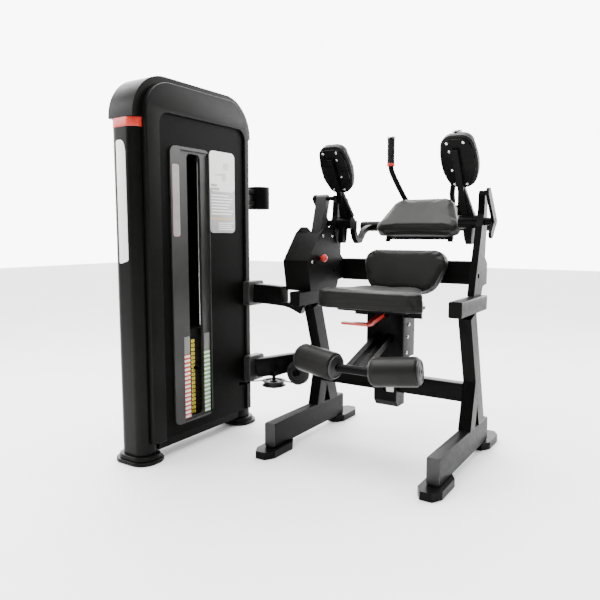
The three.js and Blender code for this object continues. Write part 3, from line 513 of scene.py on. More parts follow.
dressed("seat_lever", RED_PLASTIC, 2.5, 3)
dressed("range_knob", RED_PLASTIC, 0.6, 1)
dressed("selector_pin", COVER_PLASTIC, 0.8, 1)

# %% [markdown]
# ## The weight tower
# Two rounded columns carry one pressed hood, bent like an arch. The hood's edges are rolled
# over a radius of about 30 mm, far softer than cut plate, so it is built anew: one outline with
# rounded corners, extruded across, with only its outer rims rolled by a wide bevel.

# %% Columns, feet and red bands
TOWER_X = -522.0
TOWER_HALF = 66.0
COLUMN_HALF_DEPTH = 48.0
COLUMN_Y = {"front": -524.0, "rear": 74.0}
BAND_Z = (1287.0, 1321.0)

for end, y in COLUMN_Y.items():
    sides = (TOWER_X - TOWER_HALF, TOWER_X + TOWER_HALF, y - COLUMN_HALF_DEPTH, y + COLUMN_HALF_DEPTH)
    column = prism(rectangle(*sides, 40), "Z", 30, BAND_Z[0] - 0.3, 14)
    sole = prism(rectangle(TOWER_X - 96, TOWER_X + 96, y - 72, y + 72, 62), "Z", 0, 14, 14)
    soften(sole, rims(sole, "Z"), 3, 3)
    step = prism(rectangle(TOWER_X - 84, TOWER_X + 84, y - 62, y + 62, 54), "Z", 14.2, 31, 14)
    soften(step, rims(step, "Z", lambda p: p.z > 0.02), 6, 4)
    piece(f"column_{end}", merged(column, sole, step), "frame", TOWER_PAINT,
          (f"tower_upright_{end}",))
    grown = (sides[0] - 1.2, sides[1] + 1.2, sides[2] - 1.2, sides[3] + 1.2)
    band = prism(rectangle(*grown, 41), "Z", *BAND_Z, 14)
    soften(band, rims(band, "Z"), 2.2, 3)
    piece(f"band_{end}", band, "frame", RED_PLASTIC, (f"red_band_{end}",))
print("columns at y", list(COLUMN_Y.values()))

# %% Hood
HOOD_FRONT = COLUMN_Y["front"] - COLUMN_HALF_DEPTH
HOOD_REAR = COLUMN_Y["rear"] + COLUMN_HALF_DEPTH
HOOD_BASE = BAND_Z[1] + 0.3
HOOD_TOP = 1491.0

hood_outline = [
    (HOOD_FRONT, HOOD_BASE), (HOOD_FRONT, HOOD_TOP, 165), (HOOD_REAR, HOOD_TOP, 165),
    (HOOD_REAR, HOOD_BASE), (HOOD_REAR - 96, HOOD_BASE), (HOOD_REAR - 96, HOOD_TOP - 50, 30),
    (HOOD_FRONT + 96, HOOD_TOP - 50, 30), (HOOD_FRONT + 96, HOOD_BASE),
]
hood = prism(hood_outline, "X", TOWER_X - TOWER_HALF, TOWER_X + TOWER_HALF, 20)


def on_outer_rim(p):
    """True on the outer outline and above the hood's base."""
    if p.z < (HOOD_BASE + 0.5) * MM:
        return False
    return p.y < (HOOD_FRONT + 60) * MM or p.y > (HOOD_REAR - 60) * MM or p.z > (HOOD_TOP - 30) * MM


soften(hood, rims(hood, "X", on_outer_rim), 30, 7)
piece("hood", hood, "frame", TOWER_PAINT, ("tower_arch",))
print("hood spans", HOOD_FRONT, "to", HOOD_REAR)

# %% [markdown]
# ## Inner cover and stack window
# The face towards the user is a moulded cover: a raised charcoal border with rounded top
# corners round a sunk black panel, and in it a window frame through which the plates show.
# The panel and the window are carved out of the cover by booleans, and a small bevel eases
# every moulded edge.

# %% Moulded cover
COVER_X = TOWER_X + TOWER_HALF + 2
WINDOW = (-412.0, -186.0, 118.0, 1236.0)
SLOT = (-312.0, -234.0, 132.0, 1214.0)


def window_opening():
    return prism(rectangle(*WINDOW, 30), "X", COVER_X - 10, COVER_X + 40)


def cable_opening():
    return prism(rectangle(5, 76, 196, 215), "X", COVER_X - 10, COVER_X + 40)


cover = prism([(-531, 76), (80, 76), (80, 1466, 130), (-531, 1466, 130)], "X",
              COVER_X, COVER_X + 24, 20)
soften(cover, rims(cover, "X", lambda p: p.x > (COVER_X + 23) * MM), 5, 4)
panel = prism([(-466, 60), (50, 60), (50, 1352, 46), (-466, 1352, 46)], "X",
              COVER_X + 14, COVER_X + 40, 10)
cover = carve(cover, panel, window_opening(), cable_opening())
eased(piece("inner_cover", cover, "frame", BORDER_PLASTIC, ("inner_shroud",)), 2.0)

panel_skin = prism([(-465, 77), (49, 77), (49, 1351, 45), (-465, 1351, 45)], "X",
                   COVER_X + 13.2, COVER_X + 14.6, 10)
panel_skin = carve(panel_skin, window_opening(), cable_opening())
piece("panel_skin", panel_skin, "frame", COVER_PLASTIC)

# %% Window frame
FIT = 0.3
ring_sides = (WINDOW[0] + FIT, WINDOW[1] - FIT, WINDOW[2] + FIT, WINDOW[3] - FIT)
frame_ring = prism(rectangle(*ring_sides, 30), "X", COVER_X, COVER_X + 22, 10)
strip_bed = prism(rectangle(-356, -190, 126, 1224, 3), "X", COVER_X + 12, COVER_X + 40)
slot_hole = prism(rectangle(*SLOT, 20), "X", COVER_X - 10, COVER_X + 40)
frame_ring = carve(frame_ring, strip_bed, slot_hole)
WINDOW_PLASTIC = surface("window_frame_grey", (0.010, 0.010, 0.0095), (0.016, 0.016, 0.015), 10.0,
                         (0.36, 0.46), (900.0, 0.12, 0.0004))
frame_ring = piece("window_frame", frame_ring, "frame", WINDOW_PLASTIC,
                   ("window_bezel",))
eased(frame_ring, 1.6)
print("window:", WINDOW, "slot:", SLOT)

# %% [markdown]
# Beside the slot two printed strips mark the load. Each is a pale card with a tick at every
# plate, red on one side and green on the other, and plain grey above the stack. The ticks
# are a wave of the height: the fraction of the height over the pitch, cut at a threshold.

# %% Printed strips
PLATE_PITCH = 18.0
STACK_BOTTOM = 128.0


def tick_print(name, ink):
    made, tree, shader = new_material(name)
    place = tree.nodes.new("ShaderNodeSeparateXYZ")
    tree.links.new(tree.nodes.new("ShaderNodeTexCoord").outputs["Object"], place.inputs["Vector"])
    steps = tree.nodes.new("ShaderNodeMath")
    steps.operation = "MULTIPLY"
    steps.inputs[1].default_value = 1000.0 / PLATE_PITCH
    tree.links.new(place.outputs["Z"], steps.inputs[0])
    part = tree.nodes.new("ShaderNodeMath")
    part.operation = "FRACT"
    tree.links.new(steps.outputs[0], part.inputs[0])
    tick = tree.nodes.new("ShaderNodeMath")
    tick.operation = "LESS_THAN"
    tick.inputs[1].default_value = 0.5
    tree.links.new(part.outputs[0], tick.inputs[0])
    paper = two_tone(tree, noise(tree, 40.0), (0.72, 0.72, 0.69), (0.80, 0.80, 0.77))
    mix = tree.nodes.new("ShaderNodeMix")
    mix.data_type = "RGBA"
    mix.inputs["B"].default_value = (*ink, 1.0)
    tree.links.new(tick.outputs[0], mix.inputs["Factor"])
    tree.links.new(paper, mix.inputs["A"])
    tree.links.new(mix.outputs["Result"], shader.inputs["Base Color"])
    tree.links.new(spread(tree, noise(tree, 60.0), 0.32, 0.44), shader.inputs["Roughness"])
    return made


STRIP_X = COVER_X + 12.3
STRIP_WIDTH = 34.0
GREY_CARD = surface("grey_card", (0.15, 0.15, 0.145), (0.19, 0.19, 0.18), 18.0, (0.38, 0.48),
                    (900.0, 0.05, 0.0002))
INKS = {"left": (-350.0, (0.55, 0.05, 0.035)), "right": (-229.0, (0.12, 0.34, 0.10))}
for side, (y, ink) in INKS.items():
    ticks = prism(rectangle(y, y + STRIP_WIDTH, 131, 400, 2), "X", STRIP_X, STRIP_X + 2, 3)
    soften(ticks, rims(ticks, "X"), 0.4, 2)
    piece(f"tick_strip_{side}", ticks, "frame", tick_print(f"tick_print_{side}", ink),
          ("scale_strips",) if side == "left" else ())
    blank = prism(rectangle(y, y + STRIP_WIDTH, 401, 474, 4), "X", STRIP_X, STRIP_X + 2, 3)
    soften(blank, rims(blank, "X"), 0.4, 2)
    piece(f"plain_strip_{side}", blank, "frame", GREY_CARD)
print("tick pitch:", PLATE_PITCH, "mm")

# %% [markdown]
# ## Blank plates and labels
# The machine carries a name plate, a sheet of instructions and a small label. They are kept
# blank here: plain cards with rounded outlines, and on the sheet only plain bars and blocks
# where text and drawings would be.

# %% Name plate, instruction sheet and window label
name_corners = [(-548, 780, 8), (-500, 792, 8), (-500, 1206, 16), (-512, 1240, 16), (-548, 1240, 8)]
name_plate = prism(name_corners, "Y", HOOD_FRONT - 1.4, HOOD_FRONT + 2, 5)
soften(name_plate, rims(name_plate, "Y"), 0.5, 2)
piece("name_plate", name_plate, "frame", WHITE_PRINT)

SHEET_X = COVER_X + 18
sheet = prism(rectangle(-182, -18, 898, 1242, 22), "X", COVER_X + 14.6, SHEET_X, 8)
soften(sheet, rims(sheet, "X"), 1.0, 3)
SHEET_CARD = surface("sheet_card", (0.34, 0.34, 0.345), (0.40, 0.40, 0.405), 10.0, (0.34, 0.42),
                     (900.0, 0.04, 0.0002))
piece("instruction_sheet", sheet, "frame", SHEET_CARD, ("instruction_placard",))
head = prism(rectangle(-181, -19, 1074, 1241, 22), "X", SHEET_X - 0.5, SHEET_X + 0.2, 8)
piece("sheet_head", head, "frame", WHITE_PRINT)

GREY_INK = surface("grey_ink", (0.30, 0.30, 0.29), (0.36, 0.36, 0.35), 30.0,
                   (0.4, 0.5), (900.0, 0.04, 0.0001))
PALE_INK = surface("pale_ink", (0.55, 0.56, 0.56), (0.62, 0.63, 0.63), 30.0,
                   (0.4, 0.5), (900.0, 0.04, 0.0001))
SAND_INK = surface("sand_ink", (0.58, 0.40, 0.20), (0.64, 0.46, 0.25), 30.0,
                   (0.4, 0.5), (900.0, 0.04, 0.0001))


def bar(y0, y1, z0, z1):
    return prism(rectangle(y0, y1, z0, z1), "X", SHEET_X - 0.4, SHEET_X + 0.35)


lines = [bar(-172, -60 + 9 * ((i * 7) % 4), 1054 - 13 * i, 1060 - 13 * i) for i in range(7)]
lines += [bar(-128, -30 - 8 * ((i * 5) % 3), 938 - 9 * i, 942 - 9 * i) for i in range(4)]
piece("sheet_lines", merged(*lines), "frame", WHITE_PRINT)
pictures = [bar(-104, -78, 1118, 1152), bar(-150, -100, 1140, 1148), bar(-96, -62, 1166, 1196)]
piece("sheet_pictures", merged(*pictures), "frame", PALE_INK)
marks = [bar(-174, -136, 1094, 1104), bar(-174, -122, 1078, 1089)]
piece("sheet_marks", merged(*marks), "frame", GREY_INK)
piece("sheet_rule", bar(-176, -26, 955, 962), "frame", SAND_INK)

LABEL_CARD = surface("label_card", (0.20, 0.20, 0.195), (0.25, 0.25, 0.24), 20.0, (0.34, 0.44),
                     (900.0, 0.04, 0.0001))
LABEL_RIM = surface("label_rim", (0.46, 0.24, 0.23), (0.52, 0.29, 0.28), 20.0, (0.34, 0.44),
                    (900.0, 0.04, 0.0001))
LABEL_X = COVER_X + 22
rim = prism(rectangle(-402, -366, 884, 1164, 9), "X", LABEL_X - 0.4, LABEL_X + 0.7, 6)
piece("window_label_rim", rim, "frame", LABEL_RIM)
label = prism(rectangle(-399.5, -368.5, 886.5, 1161.5, 7), "X", LABEL_X, LABEL_X + 1.1, 6)
piece("window_label", label, "frame", LABEL_CARD)
print("sheet bars:", len(lines), "kept blank")

# %% [markdown]
# ## Weight stack
# Each plate shows a small yellow load label in the window, and the steps of the load are
# plain numbers. Text is made a mesh first and then laid on its plate.

# %% Plate labels
PLATE_FACE_X = TOWER_X + 46
STACK_Y = -250.0
PLATES = 18
YELLOW_CARD = surface("yellow_card", (0.80, 0.64, 0.04), (0.88, 0.72, 0.07), 40.0, (0.4, 0.5),
                      (900.0, 0.05, 0.0001))
BLACK_INK = surface("black_ink", (0.01, 0.01, 0.01), (0.02, 0.02, 0.02), 40.0, (0.45, 0.55),
                    (900.0, 0.04, 0.0001))


def number_mesh(text, y, z, height):
    words = bpy.data.curves.new("number", "FONT")
    words.body = text
    words.size = height * MM
    words.align_x = "CENTER"
    words.align_y = "CENTER"
    words.extrude = 0.15 * MM
    holder = bpy.data.objects.new("number", words)
    bpy.context.scene.collection.objects.link(holder)
    bpy.context.view_layer.update()
    bm = bmesh.new()
    bm.from_mesh(holder.to_mesh())
    holder.to_mesh_clear()
    bpy.data.objects.remove(holder)
    stand = Matrix(((0, 0, 1, 0), (1, 0, 0, 0), (0, 1, 0, 0), (0, 0, 0, 1)))
    place = Matrix.Translation(Vector((PLATE_FACE_X + 0.9, y, z)) * MM)
    bmesh.ops.transform(bm, matrix=place @ stand, verts=bm.verts)
    return bm


for body, first, last in (("frame", 0, 11), ("stack", 11, 18)):
    cards, numbers = [], []
    for plate in range(first, last):
        middle = STACK_BOTTOM + PLATE_PITCH * plate + 8.5
        card = prism(rectangle(STACK_Y - 21, STACK_Y - 1, middle - 6.5, middle + 6.5, 1.5), "X",
                     PLATE_FACE_X - 0.3, PLATE_FACE_X + 0.8, 3)
        cards.append(card)
        numbers.append(number_mesh(str(5 * (PLATES - plate)), STACK_Y - 11, middle, 11))
    piece(f"load_cards_{body}", merged(*cards), body, YELLOW_CARD)
    piece(f"load_numbers_{body}", merged(*numbers), body, BLACK_INK)
print("labelled plates:", PLATES)

# %% [markdown]
# ## Pulleys and cable
# A pulley is a turned nylon wheel with a groove and a thinner web, on a steel bolt. The cable
# is coated steel rope held at both ends by the machine. Round every pulley it follows a true
# arc, so it is a curve with many points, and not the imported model's short straight steps.

# %% Pulleys
GROOVE = 50.0
WHEEL_PROFILE = [(8.6, -12), (16, -12), (17, -7), (40, -7), (42, -12), (54, -12), (55, -11), (55, -9.5),
                 (46.5, -3.4), (45.8, 0), (46.5, 3.4), (55, 9.5), (55, 11), (54, 12), (42, 12),
                 (40, 7), (17, 7), (16, 12), (8.6, 12), (8.6, -12)]
TOP_Z = 1370.0
DROP_Y = -40.0
CABLE_Z = 208.0
CABLE_Y = 150.0
CAM_X = -161.0
CABLE_RADIUS = 3.0
WHEELS = {
    "top_pulley_front": ((TOWER_X, STACK_Y + GROOVE, TOP_Z), (1, 0, 0)),
    "top_pulley_rear": ((TOWER_X, DROP_Y - GROOVE, TOP_Z), (1, 0, 0)),
    "floor_pulley": ((-312.0, CABLE_Y - GROOVE, CABLE_Z), (0, 0, 1)),
    "post_pulley": ((CAM_X - GROOVE, CABLE_Y, CABLE_Z + GROOVE), (0, 1, 0)),
}
for node, (centre, direction) in WHEELS.items():
    wheel = turned(WHEEL_PROFILE, centre, direction, 64)
    piece(node + "_wheel", wheel, node, NYLON, (node,))
print("wheels:", list(WHEELS))


# %% Cable over the pulleys
def arc(centre, across, up, start, end, radius=GROOVE, steps=14):
    points = []
    for i in range(steps + 1):
        angle = math.radians(start + (end - start) * i / steps)
        ray = math.cos(angle) * Vector(across) + math.sin(angle) * Vector(up)
        points.append(Vector(centre) + radius * ray)
    return points


CAM = Vector((0.0, 251.0, 728.0))
fx, fy = WHEELS["floor_pulley"][0][:2]
reach = math.hypot(fx - TOWER_X, fy - DROP_Y)
heading = math.atan2(fy - DROP_Y, fx - TOWER_X) + math.asin(GROOVE / reach)
ahead = Vector((math.cos(heading), math.sin(heading), 0.0))
bend = Vector((TOWER_X, DROP_Y, CABLE_Z + GROOVE)) + GROOVE * ahead
route = [Vector((TOWER_X, STACK_Y, TOP_Z - 8))]
route += arc(WHEELS["top_pulley_front"][0], (0, 1, 0), (0, 0, 1), 180, 90)
route += arc(WHEELS["top_pulley_rear"][0], (0, 1, 0), (0, 0, 1), 90, 0)
route += arc(bend, ahead, (0, 0, 1), 180, 270)
route += arc(WHEELS["floor_pulley"][0], (1, 0, 0), (0, 1, 0), 90 + math.degrees(heading), 90)
route += arc(WHEELS["post_pulley"][0], (1, 0, 0), (0, 0, 1), 270, 360)
route += [Vector((CAM_X, CABLE_Y, CABLE_Z + GROOVE + 34)), Vector((CAM_X, CAM.y + 52, CAM.z - 14))]
piece("cable_run", tube(route, CABLE_RADIUS), "frame", CABLE_JACKET, ("drive_cable",))

ROPE_FOOT_Z = 522.3
ROPE_TOP_Z = TOP_Z - 10
rope = tube([(TOWER_X, STACK_Y, ROPE_FOOT_Z), (TOWER_X, STACK_Y, ROPE_TOP_Z)], CABLE_RADIUS)
rope = piece("stack_rope", rope, "frame", CABLE_JACKET, ("stack_cable",))
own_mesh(rope)
print("cable points:", len(route))

# %% [markdown]
# ## Padded pieces
# A gym pad is a board with moulded foam on it, and vinyl pulled tight round both and stapled
# behind. The foam pushes outwards and the vinyl holds it back, which is what a cloth
# simulation with pressure does. So each pad starts as a slightly small, rounded solid, gets an
# even mesh from a voxel remesh, is blown up with its board side held, and has its movement
# capped. Seams are pressed in afterwards, because a remesh would erase them.

# %% Inflate a pad
def evaluated_mesh(made):
    depsgraph = bpy.context.evaluated_depsgraph_get()
    return bpy.data.meshes.new_from_object(made.evaluated_get(depsgraph))


def inflated(name, bm, held, voxel=5.0, pressure=4.0, cap=8.0, frames=20):
    """An even, blown-up mesh of a closed shape. held(point) is true where the board holds it."""
    made = to_object(name, bm, Matrix.Identity(4))
    remesh = made.modifiers.new("even mesh", "REMESH")
    remesh.mode = "VOXEL"
    remesh.voxel_size = voxel * MM
    bpy.context.view_layer.update()
    even = evaluated_mesh(made)
    made.modifiers.clear()
    made.data = even
    before = [v.co.copy() for v in even.vertices]
    board = made.vertex_groups.new(name="board")
    board.add([v.index for v in even.vertices if held(v.co)], 1.0, "REPLACE")
    cloth = made.modifiers.new("foam and vinyl", "CLOTH")
    cloth.settings.quality = 5
    cloth.settings.mass = 0.3
    cloth.settings.tension_stiffness = 12.0
    cloth.settings.compression_stiffness = 12.0
    cloth.settings.bending_stiffness = 0.6
    cloth.settings.use_pressure = True
    cloth.settings.uniform_pressure_force = pressure
    cloth.settings.vertex_group_mass = "board"
    cloth.settings.effector_weights.gravity = 0.0
    cloth.point_cache.frame_start = 1
    cloth.point_cache.frame_end = frames
    for step in range(1, frames + 1):
        bpy.context.scene.frame_set(step)
    blown = evaluated_mesh(made)
    for spot, start, end in zip(even.vertices, before, blown.vertices):
        move = end.co - start
        if move.length > cap * MM:
            move *= cap * MM / move.length
        spot.co = start + move
    bpy.data.meshes.remove(blown)
    bpy.context.scene.frame_set(1)
    bm = bmesh.new()
    bm.from_mesh(made.data)
    bpy.data.objects.remove(made)
    for _ in range(2):
        bmesh.ops.smooth_vert(bm, verts=bm.verts, factor=0.5, use_axis_x=True, use_axis_y=True,
                              use_axis_z=True)
    return bm


def press_seam(bm, point, normal, width=3.0, depth=1.4, where=None):
    """Presses a sewn line into the skin where a plane meets it."""
    point, normal = Vector(point) * MM, Vector(normal).normalized()
    bm.normal_update()
    for vert in bm.verts:
        offset = abs((vert.co - point).dot(normal)) / (width * MM)
        if offset < 1.0 and (where is None or where(vert.co)):
            vert.co -= vert.normal * depth * MM * (1 - offset * offset) ** 2


def pad(name, bm, body, node, place=DRAWING, cover=PAD_VINYL):
    bmesh.ops.subdivide_edges(bm, edges=bm.edges, cuts=1, use_grid_fill=True, smooth=0.6)
    made = piece(name, bm, body, cover, (node,), place, 60.0)
    print(name, "faces:", len(made.data.polygons))
    return made


# %% [markdown]
# ### Seat
# The seat is a wide moulded pad: broadest in front of its middle, narrow at the back, with a
# long soft roll at the front for the thighs and a shallow dish where the user sits.

# %% Seat pad
SEAT_X = 226.5
SEAT_Z = (600.0, 676.0)
seat_plan = [(-202, -62, 40), (202, -62, 40), (231, -20, 45), (208, 20, 60), (129, 228, 50),
             (-129, 228, 50), (-208, 20, 60), (-231, -20, 45)]
seat = prism([(SEAT_X + a, b, r) for a, b, r in seat_plan], "Z", SEAT_Z[0] + 0.5, SEAT_Z[1] - 5, 8)
soften(seat, rims(seat, "Z", lambda p: p.z > 0.65), 22, 6)
soften(seat, rims(seat, "Z", lambda p: p.z < 0.65), 5, 2)
seat = inflated("seat", seat, lambda p: p.z < (SEAT_Z[0] + 4) * MM, 6.0, 4.0, 6.0)
for vert in seat.verts:
    if vert.co.z > (SEAT_Z[1] - 30) * MM:
        off = Vector((vert.co.x - SEAT_X * MM, vert.co.y - 90 * MM))
        dish = max(0.0, 1.0 - (off.x / 0.19) ** 2 - (off.y / 0.15) ** 2)
        vert.co.z -= 0.008 * dish * dish
press_seam(seat, (0, 0, SEAT_Z[0] + 14), (0, 0, 1), 3.0, 1.2)
pad("seat_cushion", seat, "seat", "seat_pad")

# %% [markdown]
# ### Upper back pad
# The upper pad leans back at about forty degrees. It tapers towards its top, and its lower
# front edge turns under in a clear fold, where the vinyl is pulled round the board.

# %% Upper pad
def leaning(foot_y, foot_z, degrees):
    """The place of a pad that stands on its foot line and leans by an angle."""
    stand = Matrix.Translation(Vector((0, foot_y, foot_z)) * MM)
    return stand @ Matrix.Rotation(math.radians(degrees), 4, "X")


ON_UPPER = leaning(423.0, 920.0, -40.5)
upper_shape = [(-193, -1, 24), (193, -1, 24), (196, 40, 60), (137, 195, 44), (-137, 195, 44),
               (-196, 40, 60)]
upper = prism([(SEAT_X + a, b, r) for a, b, r in upper_shape], "Y", 4, 58.5, 8)
soften(upper, rims(upper, "Y", lambda p: p.y < 0.03), 16, 5)
soften(upper, rims(upper, "Y", lambda p: p.y > 0.03), 6, 3)
upper = inflated("upper", upper, lambda p: p.y > 0.053, 5.0, 4.0, 5.0)
press_seam(upper, (0, 47, 0), (0, 1, 0), 3.0, 1.2)
pad("upper_cushion", upper, "arm", "upper_pad", DRAWING @ ON_UPPER)

# %% [markdown]
# ### Lumbar pad
# The lumbar pad stands behind the seat and leans back a little. Its outline is a soft hexagon.

# %% Lumbar pad
ON_LUMBAR = leaning(267.0, 645.0, -18.8)
lumbar_shape = [(-146, 4, 50), (146, 4, 50), (199, 145, 46), (164, 198, 46), (-164, 198, 46),
                (-199, 145, 46)]
lumbar = prism([(SEAT_X + a, b, r) for a, b, r in lumbar_shape], "Y", 4, 43, 8)
soften(lumbar, rims(lumbar, "Y", lambda p: p.y < 0.02), 17, 5)
soften(lumbar, rims(lumbar, "Y", lambda p: p.y > 0.02), 5, 3)
lumbar = inflated("lumbar", lumbar, lambda p: p.y > 0.039, 5.0, 4.0, 5.0)
press_seam(lumbar, (0, 34, 0), (0, 1, 0), 3.0, 1.1)
pad("lumbar_cushion", lumbar, "frame", "lumbar_pad", DRAWING @ ON_LUMBAR)

# %% [markdown]
# ### Arm pads
# Two small pads stand on the swinging arms. Each is bolted through a steel backing plate that
# leaves a rim of vinyl showing all round, so the plate is its own piece with domed bolts.

# %% Arm pads
ARM_HALF = 273.0
ON_ARM = leaning(318.0, 962.0, 31.5)


def arm_pad_shape(x, half, low, high):
    third = (high - low) / 3
    return [(x - 0.6 * half, low, 34), (x + 0.6 * half, low, 34), (x + half, low + third, 60),
            (x + half, high - third, 60), (x + 0.76 * half, high, 34), (x - 0.76 * half, high, 34),
            (x - half, high - third, 60), (x - half, low + third, 60)]


for side, word in ((-1, "left"), (1, "right")):
    x = SEAT_X + side * ARM_HALF
    foam = prism(arm_pad_shape(x, 74, 127, 347), "Y", 7, 46, 8)
    soften(foam, rims(foam, "Y", lambda p: p.y > 0.02), 16, 5)
    soften(foam, rims(foam, "Y", lambda p: p.y < 0.02), 7, 3)
    foam = inflated(f"arm_{word}", foam, lambda p: p.y < 0.0095, 5.0, 4.0, 4.5)
    press_seam(foam, (0, 18, 0), (0, 1, 0), 3.0, 1.1)
    # the darker arm vinyl paints shade onto the arm pads
    pad(f"arm_cushion_{word}", foam, "arm", f"arm_pad_{word}", DRAWING @ ON_ARM, cover=ARM_VINYL_PAINTED_SHADE)
    backing = prism(arm_pad_shape(x, 64.5, 137.5, 336.5), "Y", -4.6, 5.4, 8)
    soften(backing, rims(backing, "Y"), 1.6, 3)
    piece(f"backing_plate_{word}", backing, "arm", FRAME_PAINT, (), DRAWING @ ON_ARM)

# %% [markdown]
# ### Shin rollers
# The rollers are foam tubes with a vinyl sleeve, closed by a ring and a cap at each end. The
# sleeve is drawn tight at the ends, so it crowns a little along its length.

# %% Rollers
ROLLER_INNER = Vector((74.0, -134.0, 382.0))
ROLLER_OUTER = Vector((250.0, -106.0, 400.0))
ROLLER_LENGTH = 178.0
cap_profile = [(10, 0), (44, 0), (47, 2), (47, 6), (43, 9), (40, 9), (38, 6), (20, 6), (18, 9),
               (10, 9), (10, 0)]

for side, word in ((-1, "left"), (1, "right")):
    inner = Vector((SEAT_X + side * ROLLER_INNER.x, *ROLLER_INNER.yz))
    outer = Vector((SEAT_X + side * ROLLER_OUTER.x, *ROLLER_OUTER.yz))
    along = (outer - inner).normalized()
    start = inner + along * 4
    turn = Vector((0, 0, 1)).rotation_difference(along).to_matrix().to_4x4()
    on_axle = DRAWING @ Matrix.Translation(start * MM) @ turn
    sleeve = turned([(13, 3), (50, 3), (54, 5), (55.5, 9), (55.5, ROLLER_LENGTH - 9),
                     (54, ROLLER_LENGTH - 5), (50, ROLLER_LENGTH - 3), (13, ROLLER_LENGTH - 3),
                     (13, 3)], steps=64)
    ends = (5 * MM, (ROLLER_LENGTH - 5) * MM)
    sleeve = inflated(f"roller_{word}", sleeve, lambda p: not ends[0] < p.z < ends[1], 5.0, 3.0, 2.0)
    pad(f"roller_sleeve_{word}", sleeve, f"roller_{word}", f"roller_{word}", on_axle)
    caps = merged(turned(cap_profile, (0, 0, ROLLER_LENGTH - 3), steps=56),
                  turned(cap_profile, (0, 0, 3), (0, 0, -1), steps=56))
    piece(f"roller_caps_{word}", caps, f"roller_{word}", COLLAR_PLASTIC, (), on_axle)
print("pads done")

# %% [markdown]
# ## Handles
# The handles are bent round tube. Their grips are ribbed rubber sleeves between a red ring and
# a flanged steel cap. The bend is a smooth curve through the tube's centre points, and the ribs are
# part of the turned profile.

# %% Handle tubes and grips
HANDLE_PATH = [(157, 517, 1318), (158, 518, 1218), (150, 530, 1170), (122, 576, 1084), (113, 611, 1044),
               (110, 607, 1006), (110, 580, 968), (110, 560, 946)]
for side, word in ((-1, "left"), (1, "right")):
    line = smooth_line([(SEAT_X + side * a, b, c) for a, b, c in HANDLE_PATH])
    piece(f"handle_tube_{word}", tube(line, 12.3, 24), "arm", FRAME_PAINT,
          (f"handle_{word}",))
    foot = Vector((SEAT_X + side * 157.5, 517.6, 1222.0))
    top = Vector((SEAT_X + side * 157.0, 517.0, 1336.0))
    up = (top - foot).normalized()
    height = (top - foot).length
    profile = [(12.6, 0), (17, 0), (17.4, 1.5)]
    for rib in range(12):
        base = 6 + rib * 8.6
        profile += [(17.4, base), (16.2, base + 1.4), (16.2, base + 3.0), (17.4, base + 4.4)]
    profile += [(17.4, height - 2), (16.5, height), (0.001, height)]
    piece(f"grip_sleeve_{word}", turned(profile, foot, up, 48), "arm", RUBBER,
          (f"grip_{word}",))
    cap = [(0, height), (20.5, height), (22, height + 1.5), (22, height + 6), (19, height + 9),
           (0, height + 9)]
    piece(f"grip_cap_{word}", turned(cap, foot, up, 48), "arm", CHROME)
    ring = [(12.8, -13), (17.5, -13), (19, -11.5), (19, -1.5), (17.5, 0), (12.8, 0), (12.8, -13)]
    piece(f"grip_ring_{word}", turned(ring, foot, up, 48), "arm", RED_PLASTIC)
print("handles done")

# %% [markdown]
# ## Cup holder
# A deep cup on two stubs, with a rolled lip and a thick base.

# %% Cup
cup_profile = [(0, 1012), (48, 1012), (51, 1014), (52, 1018), (52, 1114), (51, 1117), (49.5, 1118),
               (48, 1117), (47, 1114), (47, 1021), (45, 1018), (0, 1018)]
cup = turned(cup_profile, (TOWER_X + 20, 246, 0), (0, 0, 1), 72)
stubs = []
for z in (1040, 1092):
    stub = prism(rectangle(TOWER_X + 2, TOWER_X + 38, z - 11, z + 11, 5), "Y", 122.4, 199, 4)
    stubs.append(stub)
piece("cup", merged(cup, *stubs), "frame", COVER_PLASTIC, ("cup_holder",))

# %% [markdown]
# ## Bolts, caps and trims
# The frame's joints are pulled together by socket-head bolts with domed heads. One turned head
# with a six-sided socket serves them all, carved anew for each place.

# %% Bolt heads
def bolt_head(centre, direction, radius=6.5, height=4.5):
    dome = [(0, 0), (radius, 0), (radius, height * 0.35), (radius * 0.9, height * 0.7),
            (radius * 0.62, height), (radius * 0.5, height), (0, height)]
    head = turned(dome, steps=28)
    socket = turned([(0, height * 0.35), (radius * 0.42, height * 0.35), (radius * 0.42, height * 2),
                     (0, height * 2)], steps=6)
    head = carve(head, socket)
    turn = Vector((0, 0, 1)).rotation_difference(Vector(direction)).to_matrix().to_4x4()
    bmesh.ops.transform(head, matrix=Matrix.Translation(Vector(centre) * MM) @ turn, verts=head.verts)
    return head


def bolts(name, body, heads, place=DRAWING, radius=6.5):
    made = merged(*[bolt_head(centre, direction, radius) for centre, direction in heads])
    return piece(name, made, body, CHROME, (), place)


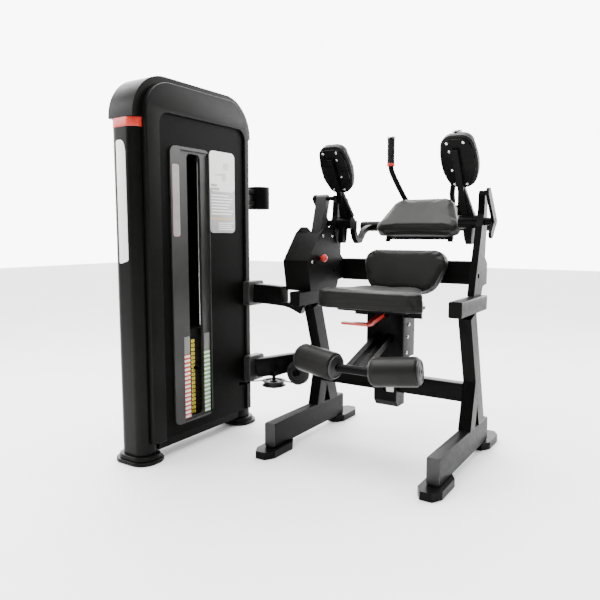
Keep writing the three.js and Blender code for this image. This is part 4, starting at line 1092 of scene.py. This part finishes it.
housing_bolts = [((-79.0, y, z), (1, 0, 0)) for y, z in ((148, 885), (227, 884), (57, 775))]
bolts("housing_bolts", "frame", housing_bolts)
carriage_bolts = [((SEAT_X + s * 84, y, z), (s, 0, 0)) for s in (-1, 1)
                  for y, z in ((190, 520), (180, 470), (170, 405))]
bolts("carriage_bolts", "seat", carriage_bolts)
for side, word in ((-1, "left"), (1, "right")):
    x = SEAT_X + side * ARM_HALF
    spots = [(-32, 322), (32, 322), (-24, 152), (24, 152), (-side * 26, 290), (-side * 26, 212)]
    heads = [((x + dx, -4.6, t), (0, -1, 0)) for dx, t in spots]
    bolts(f"arm_bolts_{word}", "arm", heads, DRAWING @ ON_ARM, 6.0)
print("bolts placed")

# %% Rail caps and the mast's label
RAIL_HALF_GAP = 346.0
for side, word in ((-1, "left"), (1, "right")):
    x = SEAT_X + side * RAIL_HALF_GAP
    cap = prism(rectangle(x - 24.5, x + 24.5, 30.5, 129.5, 8), "Y", -201.5, -196, 6)
    soften(cap, rims(cap, "Y", lambda p: p.y < -0.2), 2.0, 4)
    piece(f"rail_cap_{word}", cap, "frame", COLLAR_PLASTIC)

MAST_FRONT = 150.0
label = prism(rectangle(SEAT_X + 6, SEAT_X + 40, 236, 300, 4), "Y",
              MAST_FRONT - 0.9, MAST_FRONT + 0.5, 4)
piece("mast_label", label, "frame", WHITE_PRINT)
print("trims placed")

# %% [markdown]
# ## Floor
# The floor is plain and pale. It isn't part of the machine, so it is marked as the stage.

# %% Floor
FLOOR_FINISH = surface("pale_floor", (0.90, 0.90, 0.90), (0.94, 0.94, 0.94), 1.5, (0.55, 0.65))
floor_mesh = bmesh.new()
bmesh.ops.create_grid(floor_mesh, x_segments=1, y_segments=1, size=14.0)
floor = to_object("floor", floor_mesh, Matrix.Translation((0, 0, -0.0005)))
floor.data.materials.append(FLOOR_FINISH)
floor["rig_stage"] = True

# %% Sizes and finish
def plain(value):
    return [plain(v) for v in value] if hasattr(value, "__len__") else float(value)


for node in frame["nodes"].values():
    if not node.hide_render:
        print("packed node still shown:", node.name)
{"packed": plain(packed_bounds), "dressed": plain(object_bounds())}
